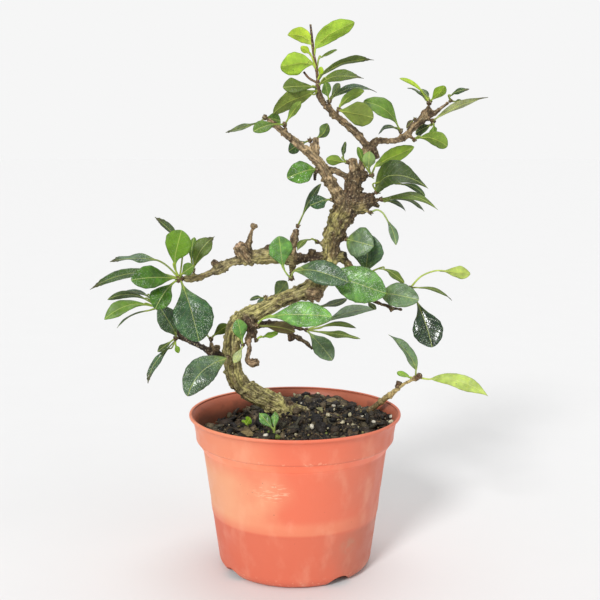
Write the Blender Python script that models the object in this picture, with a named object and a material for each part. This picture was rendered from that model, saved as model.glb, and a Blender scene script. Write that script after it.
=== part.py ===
"""Fukien tea bonsai in a terracotta-coloured plastic nursery pot.

The tree is set out in millimetres as a person sees it who stands in front of the pot:
x to the right and z up, read on the upright plane through the pot's axis, and a depth
behind that plane. at() turns such a reading into the real place along the line of sight.
"""
import math
from collections import namedtuple

import bmesh
import bpy
from mathutils import Matrix, Vector

# Driving dimensions, millimetres
EYE_DISTANCE = 700.0
EYE_HEIGHT = 295.0
POT_HEIGHT = 110.6
RIM_RADIUS = 75.0
FOOT_RADIUS = 48.0
WALL = 1.5
FLOOR = 1.6
FIT_GAP = 0.35
BLADE_THICKNESS = 0.8
STALK_WIDTH = 1.3
FOLDED_WIDTH = 9.0
FULLNESS = 0.66
SPUR_SIDES = 4
SPUR_END_SHARE = 0.7

# Pot details, millimetres
BODY_RADIUS_LOW = 54.9
FOOT_ROUNDING = 8.0
STEP_BOTTOM = (65.3, 85.5)
STEP_TOP = (69.7, 92.0)
COLLAR_TOP = (71.3, 102.0)
LIP_NECK = (72.6, 106.5)
LIP_EDGE = (0.4, 1.2)
POT_SEGMENTS = 40
DRAIN_RING_RADIUS = 27.0
DRAIN_RADIUS = 4.0
DRAIN_COUNT = 6
DRAIN_SIDES = 8
SLOT_ANGLES = (-55.0, 35.0, 125.0, 215.0)
SLOT_ARCH_RADIUS = 12.0
SLOT_ARCH_DROP = 6.0
SLOT_REACH = (45.0, 60.0)
SLOT_SIDES = 12
ARC_STEPS = 3

# Soil surface, millimetres: level, and each mound or dip as (x, y, height, spread)
SOIL_LEVEL = 97.5
MOUNDS = (
    (15.0, 56.0, 7.5, 26.0),
    (-4.0, 20.0, 6.0, 15.0),
    (62.0, 6.0, 6.0, 17.0),
    (-54.0, 28.0, -6.0, 22.0),
    (38.0, 25.0, 2.5, 14.0),
)
SOIL_RADII = (58.0, 46.0, 34.0, 22.0, 11.0)
SOIL_SEGMENTS = 20
SOIL_GRAIN = 0.7
GRAIN_WAVES = (0.55, 0.47)
GRAIN_START = 1.3

# Each branch: number of sides, then stations (x, z, depth, diameter) from root to end
BRANCHES = {
    "taproot": (7, [(-7, 115, 19.5, 14), (-6, 104, 20, 13), (-5, 94, 20, 10), (-5, 86, 20, 6)]),
    "surface_root": (6, [(-12, 116, 18, 12), (-3, 112, 21, 10), (5, 110, 22.5, 7.5),
                         (11, 108, 24, 5.5), (16, 105, 25, 3.5)]),
    "trunk": (8, [(-7, 112, 20, 16), (-14, 116, 18, 15), (-22, 119.7, 15, 14.2),
                  (-30, 123.7, 12, 13.6), (-37, 128.5, 9, 13.2), (-42, 135, 6, 12.8),
                  (-44, 143, 3, 12), (-44.5, 152, 0, 11.6), (-44.3, 161, -2, 11.2),
                  (-42.8, 170, -4, 11.4), (-37.5, 176.5, -4, 12.4), (-29, 180.5, -2, 12),
                  (-20, 184.8, 0, 11), (-10, 190.3, 3, 10.4), (0, 193.7, 6, 10.6),
                  (8, 197.2, 8.5, 12), (14.5, 201, 10.5, 12.6), (20, 206.5, 12, 12.6),
                  (23, 213, 12, 12), (24.3, 220, 11.5, 11.6), (25.4, 230, 10.5, 12),
                  (27.8, 238, 9, 14.4), (31, 247, 7, 16.6), (36, 256, 5, 17.5),
                  (39, 264, 4, 13.5), (40, 271, 3.5, 11.6), (41, 277, 3.5, 11)]),
    "old_cut": (7, [(6, 196.5, 8, 10.5), (12, 195.5, 6, 10.2), (18.5, 194.3, 4, 9.6)]),
    "old_cut_peak": (5, [(8, 199, 8, 6), (9.3, 204.5, 8, 2.6)]),
    "left_branch": (6, [(24, 221.5, 11, 8), (17, 221, 8.5, 6.6), (11, 220.3, 6.5, 6),
                        (4, 219.6, 4, 6.2), (-3, 219.3, 2, 8), (-10, 220.5, 0, 9.2),
                        (-19, 221.6, -2, 11), (-29, 220.5, -4, 9.8), (-37, 218.6, -5, 7.6),
                        (-45, 217, -6, 5.6), (-52, 212.8, -7.5, 7.6), (-58.5, 209.7, -9.5, 4.6),
                        (-65, 207.3, -11.5, 4.2), (-71, 205.8, -13, 5.2), (-76, 205.5, -14, 5)]),
    "left_bump": (5, [(-18, 224, -2, 7), (-18, 229.8, -2, 4)]),
    "left_fork": (5, [(-32, 220, -4.5, 8), (-32.6, 228, -5, 5.6), (-31.3, 234, -5, 3.6),
                      (-29.6, 239.5, -5, 2.4), (-28.6, 241.6, -5, 4), (-27.4, 243.6, -5, 3.6)]),
    "left_pruned": (6, [(-33, 220.5, -5, 9.6), (-37, 225.5, -7, 9.2), (-40, 229, -8.5, 8.8)]),
    "left_spur": (5, [(-1, 219, 2, 6.5), (-1.4, 227, 1, 5.2), (-0.6, 233, 0.5, 6.2),
                      (0.6, 238, 0, 4.6), (1, 239.5, 0, 3.4)]),
    "left_low_stub": (5, [(11, 220, 6.5, 5), (12, 226, 5, 5)]),
    "left_knob": (5, [(-52, 212.5, -7.5, 5), (-55.5, 216.4, -9, 4.6), (-57.6, 217.4, -9.5, 3.2)]),
    "trunk_left_knob": (5, [(24, 228.5, 10.5, 6), (19.2, 229.8, 8.3, 5)]),
    "trunk_black_stub": (5, [(26, 221.5, 11, 7.5), (32, 221.5, 11.5, 7.5), (35.6, 221.5, 11.8, 5)]),
    "lower_left_branch": (5, [(-44.5, 149.5, 0, 5), (-51, 150.2, 3, 4.2), (-58, 152.6, 6, 5.4),
                              (-64, 156, 9, 3.8), (-70, 159, 11.5, 3.5), (-76, 161.6, 13.5, 3.3),
                              (-80.5, 164.5, 14.5, 3.2), (-86, 171, 13.5, 2.8),
                              (-91.5, 177.5, 11, 2.5), (-94.8, 181.6, 9.3, 2.4)]),
    "lower_left_curl": (5, [(-57, 152.4, 5.5, 3.2), (-56.6, 156.4, 5, 3.2), (-53, 156.6, 4.5, 3)]),
    "elbow_knob": (6, [(-35, 177, -4, 13), (-31, 172.8, -8.5, 9.6)]),
    "hanging_stub": (5, [(-33, 174, -5, 8), (-30.5, 168.5, -6, 6.6), (-29, 165.2, -6.4, 4.6)]),
    "goose_neck": (5, [(-31, 169, -5.5, 5), (-33, 161, -6.5, 4), (-32, 155.5, -7, 3),
                       (-33.3, 150.5, -7.5, 3), (-33.4, 146.6, -8, 4), (-30, 145, -9, 5.4),
                       (-26.5, 146.2, -10, 5.8)]),
    "under_branch": (5, [(-34, 176, -1, 7), (-27, 172.4, 5, 5.2), (-18, 173.6, 11, 4.8),
                         (-9, 172.6, 16, 4.2), (-2, 171.3, 19, 3.4), (5, 169.8, 21.4, 2.8)]),
    "under_twig": (5, [(-7, 172, 17, 3.6), (-2.6, 166, 20, 4), (3.5, 162.6, 22, 3.2),
                       (8.6, 159.3, 23.5, 2.8), (12.4, 155.2, 24.5, 2.2)]),
    "under_twig_knob": (5, [(-3.4, 167, 19.5, 3.6), (-2.6, 161.4, 20, 4)]),
    "right_knob": (7, [(37, 257.5, 4.5, 15.5), (45, 258, 2.5, 15), (51.5, 259.8, 0.8, 10.4),
                       (54.6, 260.2, 0, 7.6)]),
    "right_knob_dead_bud": (5, [(52, 258, 0.5, 4), (58.6, 255.7, -1, 2.6)]),
    "middle_right": (5, [(30, 221.5, 11.4, 6.5), (36, 217, 12.6, 5), (42, 209.5, 13.4, 4.2),
                         (47, 202, 13.4, 3.8), (51.5, 195, 12.4, 3.4), (56, 189.6, 11, 3),
                         (61, 187.3, 9.6, 2.6), (65.4, 186, 8.6, 2.8), (68.8, 183.3, 7.8, 4.4)]),
    "middle_right_tip": (5, [(67.5, 184.6, 8, 2.6), (72, 184, 7.4, 1.8), (75.4, 183.6, 7, 1.8)]),
    "middle_right_twig": (5, [(49, 199, 13, 3.4), (56, 197.6, 15, 2.6), (64, 198.2, 16.5, 2.4),
                              (72, 198.6, 17, 2.2), (77.6, 198.8, 16.6, 2.2)]),
    "crown_left": (6, [(36, 256, 4.5, 12), (30, 263, 1.5, 9.6), (26, 269.5, -0.8, 8.4),
                       (22, 276, -3, 7.8), (18, 283.4, -6, 7), (12.5, 289.8, -9, 6),
                       (5, 296, -12.4, 5.2), (-4, 303.2, -17.4, 4.8), (-13, 310.4, -22.6, 4),
                       (-18, 314.3, -25.4, 3.6)]),
    "crown_left_strand": (5, [(20, 281.5, -4.5, 5), (26, 280.8, -1, 4.2), (32.5, 277.8, 1.5, 4.2),
                              (38, 274.5, 3, 5)]),
    "crown_left_cut": (5, [(14, 288, -8, 5.4), (14.2, 296, -7.4, 4.6), (14.2, 303, -7, 4.4)]),
    "crown_left_dark_stub": (5, [(16, 284, -7, 3.4), (13.6, 277.4, -8, 2.4), (14, 273.6, -8, 1.8)]),
    "crown_fork": (5, [(40.6, 274, 3.6, 9), (45.2, 281, 5, 6.2), (46.6, 286.4, 6, 5.2),
                       (48, 291.4, 7, 5.2), (50.4, 296.6, 8.2, 6)]),
    "crown_top_stub": (5, [(40.6, 274, 3, 7.6), (40.2, 281, 2, 6.6), (40, 288.6, 1.4, 5)]),
    "crown_fork_stub": (5, [(42, 276.5, 3.4, 7.5), (47.4, 277.2, 2, 6.8), (49.8, 277, 1.2, 5)]),
    "crown_middle": (5, [(50.4, 296, 8, 5.6), (45.6, 301.4, 6, 5), (40.6, 307, 4, 5.6),
                         (36, 310.8, 2.4, 4.8), (31, 314.9, 0.4, 4.6), (26.6, 318.4, -1, 4.6),
                         (23.4, 321.6, -2.2, 4.4), (20.6, 324.8, -3.2, 4.2)]),
    "crown_middle_knob": (5, [(41, 306.6, 4, 4.4), (39.2, 310, 4, 3)]),
    "crown_right": (5, [(50, 295.6, 8, 5.6), (54, 299.4, 10, 4.8), (59, 300.6, 12, 4.4),
                        (66, 300.4, 14.6, 4.2), (72, 301.6, 17, 4.4), (76.4, 304.4, 18.4, 5),
                        (80, 309, 19.4, 5.4), (84.4, 313, 20.4, 6), (88.6, 316.8, 21.4, 6.6),
                        (90.4, 320.2, 22, 5.6), (91, 322.6, 22, 4)]),
    "crown_right_dark_knob": (5, [(52.6, 298, 9.4, 4.8), (56.6, 288.4, 8, 4.6)]),
    "crown_right_prong": (5, [(88.6, 315.6, 21, 4.4), (95, 319.2, 19.6, 3.4), (100, 323, 18, 2.6),
                              (104, 326, 16.8, 2)]),
}

# Branch lumps: how far their wave moves on from station to station and from side to side
LUMP_WAVES = (2.4, 1.9)
FIRST_SIDE = (0.31, 0.9, 0.27)

# Soil hole cutters follow these branches
ROOTS_IN_SOIL = ("taproot", "surface_root", "trunk")
TRUNK_STATIONS_IN_SOIL = 4

Leaf = namedtuple("Leaf", "base tip width face arch sway fold via belly")


def leaf(base, tip, width, face, arch=0.0, sway=0.0, fold=14.0, via=(), belly=1.3):
    """Return one leaf row: base and tip as (x, z, depth), face in degrees from the viewer.

    arch bows the blade towards its upper face and sway bows it upwards across the view.
    A larger belly puts the widest place nearer the tip.
    """
    return Leaf(base, tip, width, face, arch, sway, fold, via, belly)


Spray = namedtuple("Spray", "hub size foot foot_size leaves")

# Each spray: bud centre and size, its foot on the wood and the spur's size there, and leaves
SPRAYS = {
    "spray_crown_left_tip": Spray((-20.4, 316.2, -26.8), 3.6, (-16, 312.8, -24.4), 3.4, [
        leaf((-25, 312.2, -29), (-47.4, 306.2, -38), 8, 115, 0, 0.6),
        leaf((-19.6, 316.6, -22.5), (-9.8, 314, -14), 9.5, 15),
    ]),
    "spray_crown_left_middle": Spray((-7.1, 311.4, -23), 3.4, (-5.4, 304.6, -18.4), 3.4, [
        leaf((-5.6, 314, -23.6), (4, 327.4, -27), 6.5, 152, 0, 0.2),
        leaf((-13.4, 311.8, -28.5), (-28.4, 306.8, -36), 10, 35, 1, 0.4),
    ]),
    "spray_crown_left_back": Spray((10.4, 300.8, -0.4), 3.2, (12, 291.4, -8), 3.6, [
        leaf((7.6, 300, 1), (-4.4, 293.4, 6), 10, 30, 1),
        leaf((15.4, 302.4, 2), (22, 312.4, 5), 9.5, 150, 0, -1.4),
    ]),
    "spray_crown_left_front": Spray((15, 281, -12.6), 3.4, (17.4, 282.6, -6.8), 4, [
        leaf((12.6, 281.6, -14.8), (-5.4, 275.4, -23), 15.5, 12, 1, 0, belly=1.1),
    ]),
    "spray_crown_middle_top": Spray((23.4, 327.2, -5.6), 3.2, (24, 321.6, -2.2), 3.6, [
        leaf((22.6, 330, -7.8), (20.5, 339.6, -12), 8.5, 35),
        leaf((24.6, 330.4, -4), (30.5, 338.8, 0), 7.5, 140),
        leaf((28.4, 332.6, 1), (55.6, 333.2, 12), 9, 60, 1.5, 2, belly=0.9),
    ]),
    "spray_crown_middle_right": Spray((29.8, 321.6, -3.6), 3.2, (27.6, 318, -1), 3.8, [
        leaf((31, 325.4, -4.6), (47, 334, 1), 8, 152, 0, 1.6, belly=1.0),
        leaf((32, 320.2, -6.6), (53.6, 316.2, -17), 17, 165, 1, 0.2, belly=1.1),
    ]),
    "spray_crown_right_left": Spray((72.2, 307.2, 15.4), 3.4, (72.6, 302, 17), 3.8, [
        leaf((70.2, 310.6, 14), (46.6, 327, 8), 16.5, 48, 4, 1),
        leaf((69.4, 309.4, 18), (57.2, 305, 27), 7, 62, 1.5, 1.6),
    ]),
    "spray_crown_right_end": Spray((91.4, 326.4, 21.8), 3.8, (90.8, 321, 22), 4, [
        leaf((89, 330.2, 20), (71, 342.4, 12), 6, 60, 0.5, 2),
        leaf((89, 328, 24), (76.4, 336, 33), 6.5, 72, 1, 1),
        leaf((91.2, 329.4, 25), (86, 335.4, 32), 6.5, 50),
        leaf((93.8, 329, 19.6), (101.4, 337.6, 14), 10, 140, 0, -0.8, belly=1.1),
    ]),
    "spray_crown_right_prong": Spray((105.9, 327.5, 16.2), 2.6, (101, 323.6, 17.7), 2.4, [
        leaf((104.4, 331.2, 13), (118.4, 335.4, 8), 6, 56, 0, 0.6),
        leaf((108.6, 327, 19), (115.4, 326.4, 27), 5, 40),
    ]),
    "spray_crown_right_low": Spray((94.2, 314, 19), 3.6, (88.8, 316, 21.4), 4, [
        leaf((97.4, 316.4, 15), (131.4, 329.8, 1), 10, 124, 0, 2.2, belly=1.0),
        leaf((93.4, 311, 22), (82.4, 305.6, 32), 8.5, 32, 1),
        leaf((95, 311, 17.6), (94, 304.6, 12), 6.5, 40),
    ]),
    "spray_crown_right_back": Spray((82, 315, 25.6), 2.8, (84, 312.6, 20.2), 3.2, [
        leaf((80.6, 314.6, 28), (76, 309.6, 34), 6.5, 50),
    ]),
    "spray_crown_right_under": Spray((81.6, 301.4, 14.6), 3, (77.4, 305, 18.4), 3.6, [
        leaf((84.4, 303.6, 12), (104.4, 296.8, 1), 12.5, 152, 2, 1),
    ]),
    "spray_crown_fork": Spray((52.6, 277.2, 0.4), 3.6, (47, 277.2, 2), 5, [
        leaf((56.4, 286, 13), (81.6, 296.4, 27), 11, 152, 0, -0.4, belly=0.9),
        leaf((50.6, 281.6, -3.6), (51.2, 293.4, -9), 9.5, 10, 1),
        leaf((47.6, 284.4, -3), (43, 296.4, -6), 5.5, 40),
    ]),
    "spray_crown_stub": Spray((36, 286, -1.4), 2.8, (39.8, 283.6, 1.6), 3.6, [
        leaf((34, 286.2, -3), (21.4, 288.4, -9), 8, 152),
        leaf((32.2, 289, -1), (34.6, 300, -3), 5.5, 56),
    ]),
    "spray_right_knob_top": Spray((56.4, 265.8, -2), 3.6, (50, 261.4, 1), 6, [
        leaf((53.6, 271, -5), (91.8, 268.2, -19), 22, 40, 9, 1.4, 14, belly=0.75),
        leaf((72, 271.4, 4), (89.8, 262.8, 6), 6, 50, 1, 1.5, via=((60, 271, 1),)),
    ]),
    "spray_right_knob_tip": Spray((59.2, 260.7, -2), 3.2, (53, 260, 0), 5, [
        leaf((63, 261.6, -4), (98.6, 253.6, -20), 8.5, 62, 5, 0.8, belly=0.9),
        leaf((62.6, 260, -1), (89.4, 252.4, 14), 8.5, 64, 4, 1),
        leaf((61.8, 259, 1.4), (76.4, 252.6, 17), 6.5, 60, 2, 1),
    ]),
    "spray_right_knob_low": Spray((52.2, 251.6, -4.6), 3, (46, 254.4, 0), 6, [
        leaf((63.6, 247, -10), (70.2, 229, -17), 6.4, 34, 0, 1.1, 10,
             ((56.6, 253.4, -6), (60.6, 251.4, -8))),
    ]),
    "spray_trunk_left": Spray((25.4, 260.4, -6.4), 3, (33, 257, 1.5), 6, [
        leaf((22.4, 260.6, -8.4), (10.4, 256.4, -16), 11.5, 18, 1),
    ]),
    "spray_left_spur_top": Spray((1.9, 242.2, -0.4), 3, (1, 238.6, 0), 3.4, [
        leaf((5, 249, -2), (18, 271.4, -8), 8.5, 52, 0, 1, 20),
    ]),
    "spray_trunk_left_knob": Spray((15.4, 231.2, 5.8), 3, (20.6, 229.6, 8.8), 4.6, [
        leaf((12, 233.4, 1), (1.6, 225.2, -8), 6.5, 60, 1.5, 1),
    ]),
    "spray_left_low": Spray((-2.6, 206, -6.6), 4, (-1.2, 216.5, 1), 5, [
        leaf((-9, 214.4, -14), (-11.2, 235.2, -21), 17, 8, 1, 0, 10, ((-5.6, 208.6, -10.5),)),
        leaf((3.4, 213.2, -10), (37.4, 203, -20), 18, 18, 3, 0.2, 10, ((-1.4, 210, -8.4),), 1.0),
    ]),
    "spray_trunk_front": Spray((20.6, 209.4, 1.8), 4, (21.4, 209, 9), 6, [
        leaf((24.6, 208.8, -1.6), (63.8, 195, -11), 26, 10, 3, -0.6, 9, belly=1.05),
    ]),
    "spray_trunk_right": Spray((35.8, 233, 8), 3.2, (28, 231.6, 10.4), 5, [
        leaf((37.2, 232.8, 5), (54.6, 228.2, -4), 24, 10, 1, 0, 8, belly=0.75),
    ]),
    "spray_middle_right_top": Spray((48.6, 208.4, 10.6), 3.2, (45, 205, 13.4), 4, [
        leaf((50, 211.8, 10), (53, 236, 9), 23, 10, 1, 0.6, 8, belly=1.1),
        leaf((61, 213.6, 15), (76.4, 202.4, 13), 7.5, 48, 1),
    ]),
    "spray_middle_right_fold": Spray((50.4, 192, 8.2), 2.8, (53, 193, 12), 3.4, [
        leaf((51, 189.6, 6), (56.6, 183.6, 1), 6.5, 55),
    ]),
    "spray_middle_right_round": Spray((60, 193.4, 9.2), 2.8, (54.6, 191.4, 11.5), 3.2, [
        leaf((62.6, 195.8, 6), (86.8, 190.4, -5), 19.5, 22, 1, -0.2, 9, belly=0.85),
    ]),
    "spray_middle_right_end": Spray((80.6, 199, 16.2), 3.4, (75, 198.7, 16.8), 2.4, [
        leaf((104, 211, 8), (122.4, 208.8, 2), 10.5, 150, 0, 0, 8,
             ((88, 207, 13), (97, 210.8, 10))),
        leaf((85, 199.2, 19), (110, 190, 30), 7.5, 66, 2, 1.3),
        leaf((85.8, 188.8, 10.6), (96.8, 156.6, -5), 21.5, 14, 2, 1, 16, belly=1.5),
    ]),
    "spray_elbow": Spray((-27, 172.6, -15.6), 3.4, (-32, 173.4, -8), 7, [
        leaf((-18, 179.4, -19), (26, 178.6, -27), 18.5, 20, 3, 0, 9, ((-23.4, 176.4, -17.6),)),
        leaf((-22.4, 171.6, -13), (0, 167.6, -6), 9.5, 150, 1, 1),
    ]),
    "spray_hanging_stub": Spray((-27.4, 162, -7), 3, (-29.6, 166.6, -6.2), 4, [
        leaf((-24, 164.6, -6), (-12, 168, 0), 6, 52, 0, -1),
    ]),
    "spray_under": Spray((8, 169.2, 23.4), 3.2, (3, 170.2, 20.8), 3, [
        leaf((10, 166.8, 20), (26.4, 147.2, 8), 14.5, 16, 2, 0.6, 12),
        leaf((17.6, 170.4, 26), (43, 170.4, 38), 8, 58, 3, 0.6),
        leaf((19.6, 167.2, 23), (46, 162.8, 19), 6.5, 50, 0, 0.6, belly=0.8),
        leaf((22, 174.6, 29), (56.4, 184, 44), 15, 54, 2, 1),
    ]),
    "spray_under_back": Spray((13, 186.4, 15.6), 3, (10.6, 193, 9.6), 5, [
        leaf((16.4, 186, 19), (36, 191.4, 32), 9.5, 62, 0, -1.6),
    ]),
    "spray_lower_trunk": Spray((-36.6, 158.4, -10.4), 2.8, (-33, 161, -6.5), 3.6, [
        leaf((-37.6, 161.4, -12.6), (-40.4, 176.6, -15), 11, 14, 1),
        leaf((-37.4, 156.2, -12.4), (-43.2, 145.4, -14.4), 6.5, 22),
    ]),
    "spray_trunk_back": Spray((-14.4, 192, 13.6), 3.2, (-11, 190, 4), 6, [
        leaf((-13.4, 193.4, 17), (-5.6, 203.8, 24), 9.5, 158, 0, -0.8),
        leaf((-16.6, 190.6, 18), (-26, 184, 32), 10, 40, 2),
    ]),
    "spray_trunk_top": Spray((-20.6, 192.4, 2.6), 2.8, (-20, 186, 0.8), 4, [
        leaf((-23, 191.8, 4), (-31.6, 190.6, 8), 6.5, 58, 1),
    ]),
    "spray_low_front": Spray((-47.4, 149.6, -8.6), 3.4, (-45, 151, -1), 6, [
        leaf((-50.6, 147.4, -11.6), (-76.4, 121.2, -27), 20.5, 5, 2, 4.4, 8, belly=1.0),
    ]),
    "spray_lower_left_spur": Spray((-59.2, 162.4, 8.2), 3.2, (-58.6, 153, 6.2), 5, [
        leaf((-57.6, 165, 9.4), (-46.6, 172.4, 13), 8.5, 150, 1),
        leaf((-61.4, 164.6, 11), (-69, 172, 22), 8, 60, 1),
    ]),
    "spray_left_end": Spray((-80.6, 205.4, -16.2), 5.2, (-74, 205.6, -13.8), 4.6, [
        leaf((-78.2, 200.6, -20.6), (-67.6, 160.8, -33), 28, 8, 4, 0, 12),
        leaf((-84.8, 215, -20), (-78.6, 239.4, -27), 19.5, 18, 1, 0, 8, belly=1.5),
        leaf((-79.4, 208.6, -21), (-70.8, 214.8, -26), 9, 20),
        leaf((-77.8, 229, -13), (-97, 248.4, -4), 9.5, 56, 0, 0.8, 18, ((-79, 216, -14.6),)),
        leaf((-99, 219, -24), (-129, 217.4, -38), 10.5, 58, 0.4, 1, 14,
             ((-88, 213.4, -19), (-94, 217.6, -21.5)), 0.9),
        leaf((-100, 210, -13), (-143.4, 197.8, -6), 11.5, 50, 0.5, 3.2, 14, ((-91, 208.6, -14.6),), 0.95),
        leaf((-87.4, 206, -21.6), (-114.6, 204.4, -36), 13.5, 20, 1, 0.6, belly=1.1),
        leaf((-87, 201.6, -20.6), (-99.2, 183.6, -28), 13.5, 20, 2),
    ]),
    "spray_left_fork": Spray((-71, 211.4, -12.8), 3, (-70.6, 206, -13), 4, [
        leaf((-70, 216.4, -12), (-55.8, 235, -5), 13.5, 24, 1, 1.4, belly=1.1),
        leaf((-72.2, 218, -9), (-70, 234.4, 2), 7, 40, 1),
    ]),
    "spray_lower_left_end": Spray((-96.9, 184.7, 8.4), 3, (-93.4, 180, 9.8), 2.5, [
        leaf((-104, 188, 6), (-134, 176.4, -4), 12.5, 30, 3, 2),
        leaf((-103, 191.4, 11), (-131.4, 190.6, 16), 8.5, 50, 3, 1),
        leaf((-103, 182.8, 4), (-125.4, 170.4, -2), 5.5, 76, 1, 2),
        leaf((-102, 194, 12), (-119.6, 196.2, 24), 7, 56, 1),
    ]),
    "spray_lower_left_fork": Spray((-84, 163.2, 9.6), 3.4, (-79.6, 163.4, 14.2), 3, [
        leaf((-83.8, 167, 7), (-95.2, 186, -6), 15.5, 16, 2, -0.6, 12, belly=1.1),
        leaf((-87.4, 161, 7), (-97, 153.4, 3), 7.5, 48),
        leaf((-84.4, 158.6, 9.4), (-82, 152.6, 10), 4.5, 30),
        leaf((-86.8, 156.4, 9), (-104.4, 130.6, 0), 7, 40, 0, 3.8),
    ]),
}

# Leader: the young shoot on top of the crown, which carries its own leaves
LEADER_STEM = [
    (20.4, 325.1, -3.3, 4), (19, 326.6, -3.8, 4.2), (16.6, 331, -4.4, 4.6),
    (15.4, 335.6, -4.4, 4), (15.5, 341, -4, 2.4), (14.6, 348, -3, 2.2), (12.9, 357, -2, 2),
    (11.8, 366, -1, 1.8), (10.4, 378, 0, 1.5),
]
LEADER_STUB = [(15.4, 339.4, -4, 1.8), (9.6, 342.5, -2, 1.6), (6, 346.6, 0, 1.5)]
LEADER_LEAVES = [
    (6, leaf((14.8, 367, -3), (39.9, 379.6, -14), 14.5, 152, 1, 0, belly=0.85)),
    (6, leaf((10.4, 367.6, 0), (-5, 371, 6), 12, 150, 1, 1.2, belly=0.85)),
    (5, leaf((10.6, 358.6, -4), (4, 363.6, -9), 5, 158)),
    (5, leaf((10, 354.4, -5), (-9.8, 350.6, -14), 15.8, 166, 1, -0.8, belly=1.0)),
    (5, leaf((16.4, 356.8, 0), (28.4, 361.2, 8), 7.5, 108)),
    (4, leaf((21.5, 348.6, 1), (53.4, 354.6, 16), 10, 126, 0, 2.5, belly=0.85)),
    (3, leaf((19.6, 342.6, -7), (46.6, 342.4, -19), 10.5, 42, 1.5, 0.4, belly=0.85)),
    (4, leaf((16.6, 344.4, -6), (18.2, 350, -9), 5, 40)),
    (3, leaf((12.4, 337.4, -8), (-8.2, 336.4, -17), 10.5, 40, 1, -0.4)),
    (3, leaf((13.4, 331.8, -9), (-14.8, 319.2, -22), 12, 155, 1, 2.4, belly=1.1)),
]

# Side shoot from the soil at the right, with its leaves fused on
SIDE_STEM = [
    (44, 101, 27, 4.6), (50, 108, 26, 5), (57, 113.8, 22.6, 5), (63, 118.8, 18, 5.8),
    (68, 122.4, 14, 5.2), (72.6, 126.6, 11, 3.8), (78, 130.4, 8, 2.8), (83, 133.2, 5, 3),
    (86.6, 135, 2.6, 5.6), (89.4, 136.6, 1, 4.4),
]
SIDE_KNOB = [(72.4, 126.6, 11, 3.2), (73.8, 131.6, 10, 5.6)]
SIDE_LEAVES = [
    leaf((86, 143, 1), (66, 165.8, -8), 11.5, 38, 1, 0.8, 20, ((85.6, 139.6, 1),), 0.9),
    leaf((82.4, 135.2, 7), (72.4, 139, 14), 6, 48, 0, -0.4),
    leaf((100.6, 134.4, -1), (137.2, 121.4, -14), 13.5, 28, 3, 1.6, 12, ((95, 133.6, 0),), 0.9),
]
SIDE_LEAF_ROOTS = ((85.6, 135.4, 3), (83, 133.2, 5), (88.4, 134.6, 2))

# Small plants in the soil
SEEDLING_STEM = [(-15.4, 85.6, -24, 1.8), (-15.2, 92, -24, 1.6), (-14.9, 96, -24, 1.6)]
SEEDLING_LEAVES = [
    leaf((-15.6, 97.6, -24.4), (-25.6, 109, -22), 8, 12),
    leaf((-14.6, 98, -23.6), (-14.2, 110.4, -18), 7, 34),
]
WEED_STEM = [(-34, 92, -4, 1.6), (-34, 99, -4, 1.5), (-34, 100.6, -4.4, 1.5)]
WEED_LEAVES = [
    leaf((-34.6, 100.8, -4.8), (-32, 105.4, -8), 6.5, 30, 0, 0, 6),
    leaf((-34.6, 100.8, -3.6), (-37.4, 104, -1), 5, 60, 0, 0, 6),
]

# Shares of a blade's length at which it gets a ring: folded blades and narrow flat ones
FOLDED_STATIONS = (0.0, 0.2, 0.45, 0.72, 0.92, 1.0)
FLAT_STATIONS = (0.0, 0.3, 0.68, 1.0)


def at(x, z, depth):
    """Return the real place, in millimetres, of a point seen at (x, z) with this depth."""
    stretch = (EYE_DISTANCE + depth) / EYE_DISTANCE
    return Vector((x * stretch, depth, EYE_HEIGHT + (z - EYE_HEIGHT) * stretch))


def make_material(name, colour, roughness):
    """Make a plain Principled material."""
    material = bpy.data.materials.new(name)
    material.use_nodes = True
    shader = material.node_tree.nodes["Principled BSDF"]
    shader.inputs["Base Color"].default_value = (*colour, 1.0)
    shader.inputs["Roughness"].default_value = roughness
    return material


def tangents(points):
    """Return the direction of the path at each point, from its neighbours."""
    found = []
    for i in range(len(points)):
        before = points[max(i - 1, 0)]
        after = points[min(i + 1, len(points) - 1)]
        found.append((after - before).normalized())
    return found


def carried_frames(points, start, side):
    """Carry a side direction along a path without twist, both ways from a start index."""
    ways = tangents(points)
    sides = [None] * len(points)
    sides[start] = (side - ways[start] * side.dot(ways[start])).normalized()
    for i in range(start + 1, len(points)):
        turn = ways[i - 1].rotation_difference(ways[i])
        sides[i] = (turn @ sides[i - 1]).normalized()
    for i in range(start - 1, -1, -1):
        turn = ways[i + 1].rotation_difference(ways[i])
        sides[i] = (turn @ sides[i + 1]).normalized()
    return ways, sides


def solid(name, rings, material, slants=()):
    """Make a closed object from rings of points in millimetres, in order along it.

    A ring of one point closes an end in a fan, and any other end gets a flat cap. slants
    says, for each side of the rings, whether its four-cornered faces split the other way.
    """
    vertices = [tuple(point * 0.001) for ring in rings for point in ring]
    places = []
    for ring in rings:
        start = sum(len(found) for found in places)
        places.append(list(range(start, start + len(ring))))
    faces = []
    for low, high in zip(places[:-1], places[1:]):
        count = max(len(low), len(high))
        for k in range(count):
            after = (k + 1) % count
            if len(low) == 1:
                faces.append((low[0], high[after], high[k]))
            elif len(high) == 1:
                faces.append((low[k], low[after], high[0]))
            elif slants and slants[k]:
                faces.append((low[k], low[after], high[k]))
                faces.append((low[after], high[after], high[k]))
            else:
                faces.append((low[k], low[after], high[after]))
                faces.append((low[k], high[after], high[k]))
    if len(places[0]) > 1:
        faces.append(tuple(reversed(places[0])))
    if len(places[-1]) > 1:
        faces.append(tuple(places[-1]))
    mesh = bpy.data.meshes.new(name)
    mesh.from_pydata(vertices, [], faces)
    mesh.validate()
    if material is not None:
        mesh.materials.append(material)
    thing = bpy.data.objects.new(name, mesh)
    bpy.context.scene.collection.objects.link(thing)
    return thing


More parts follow.
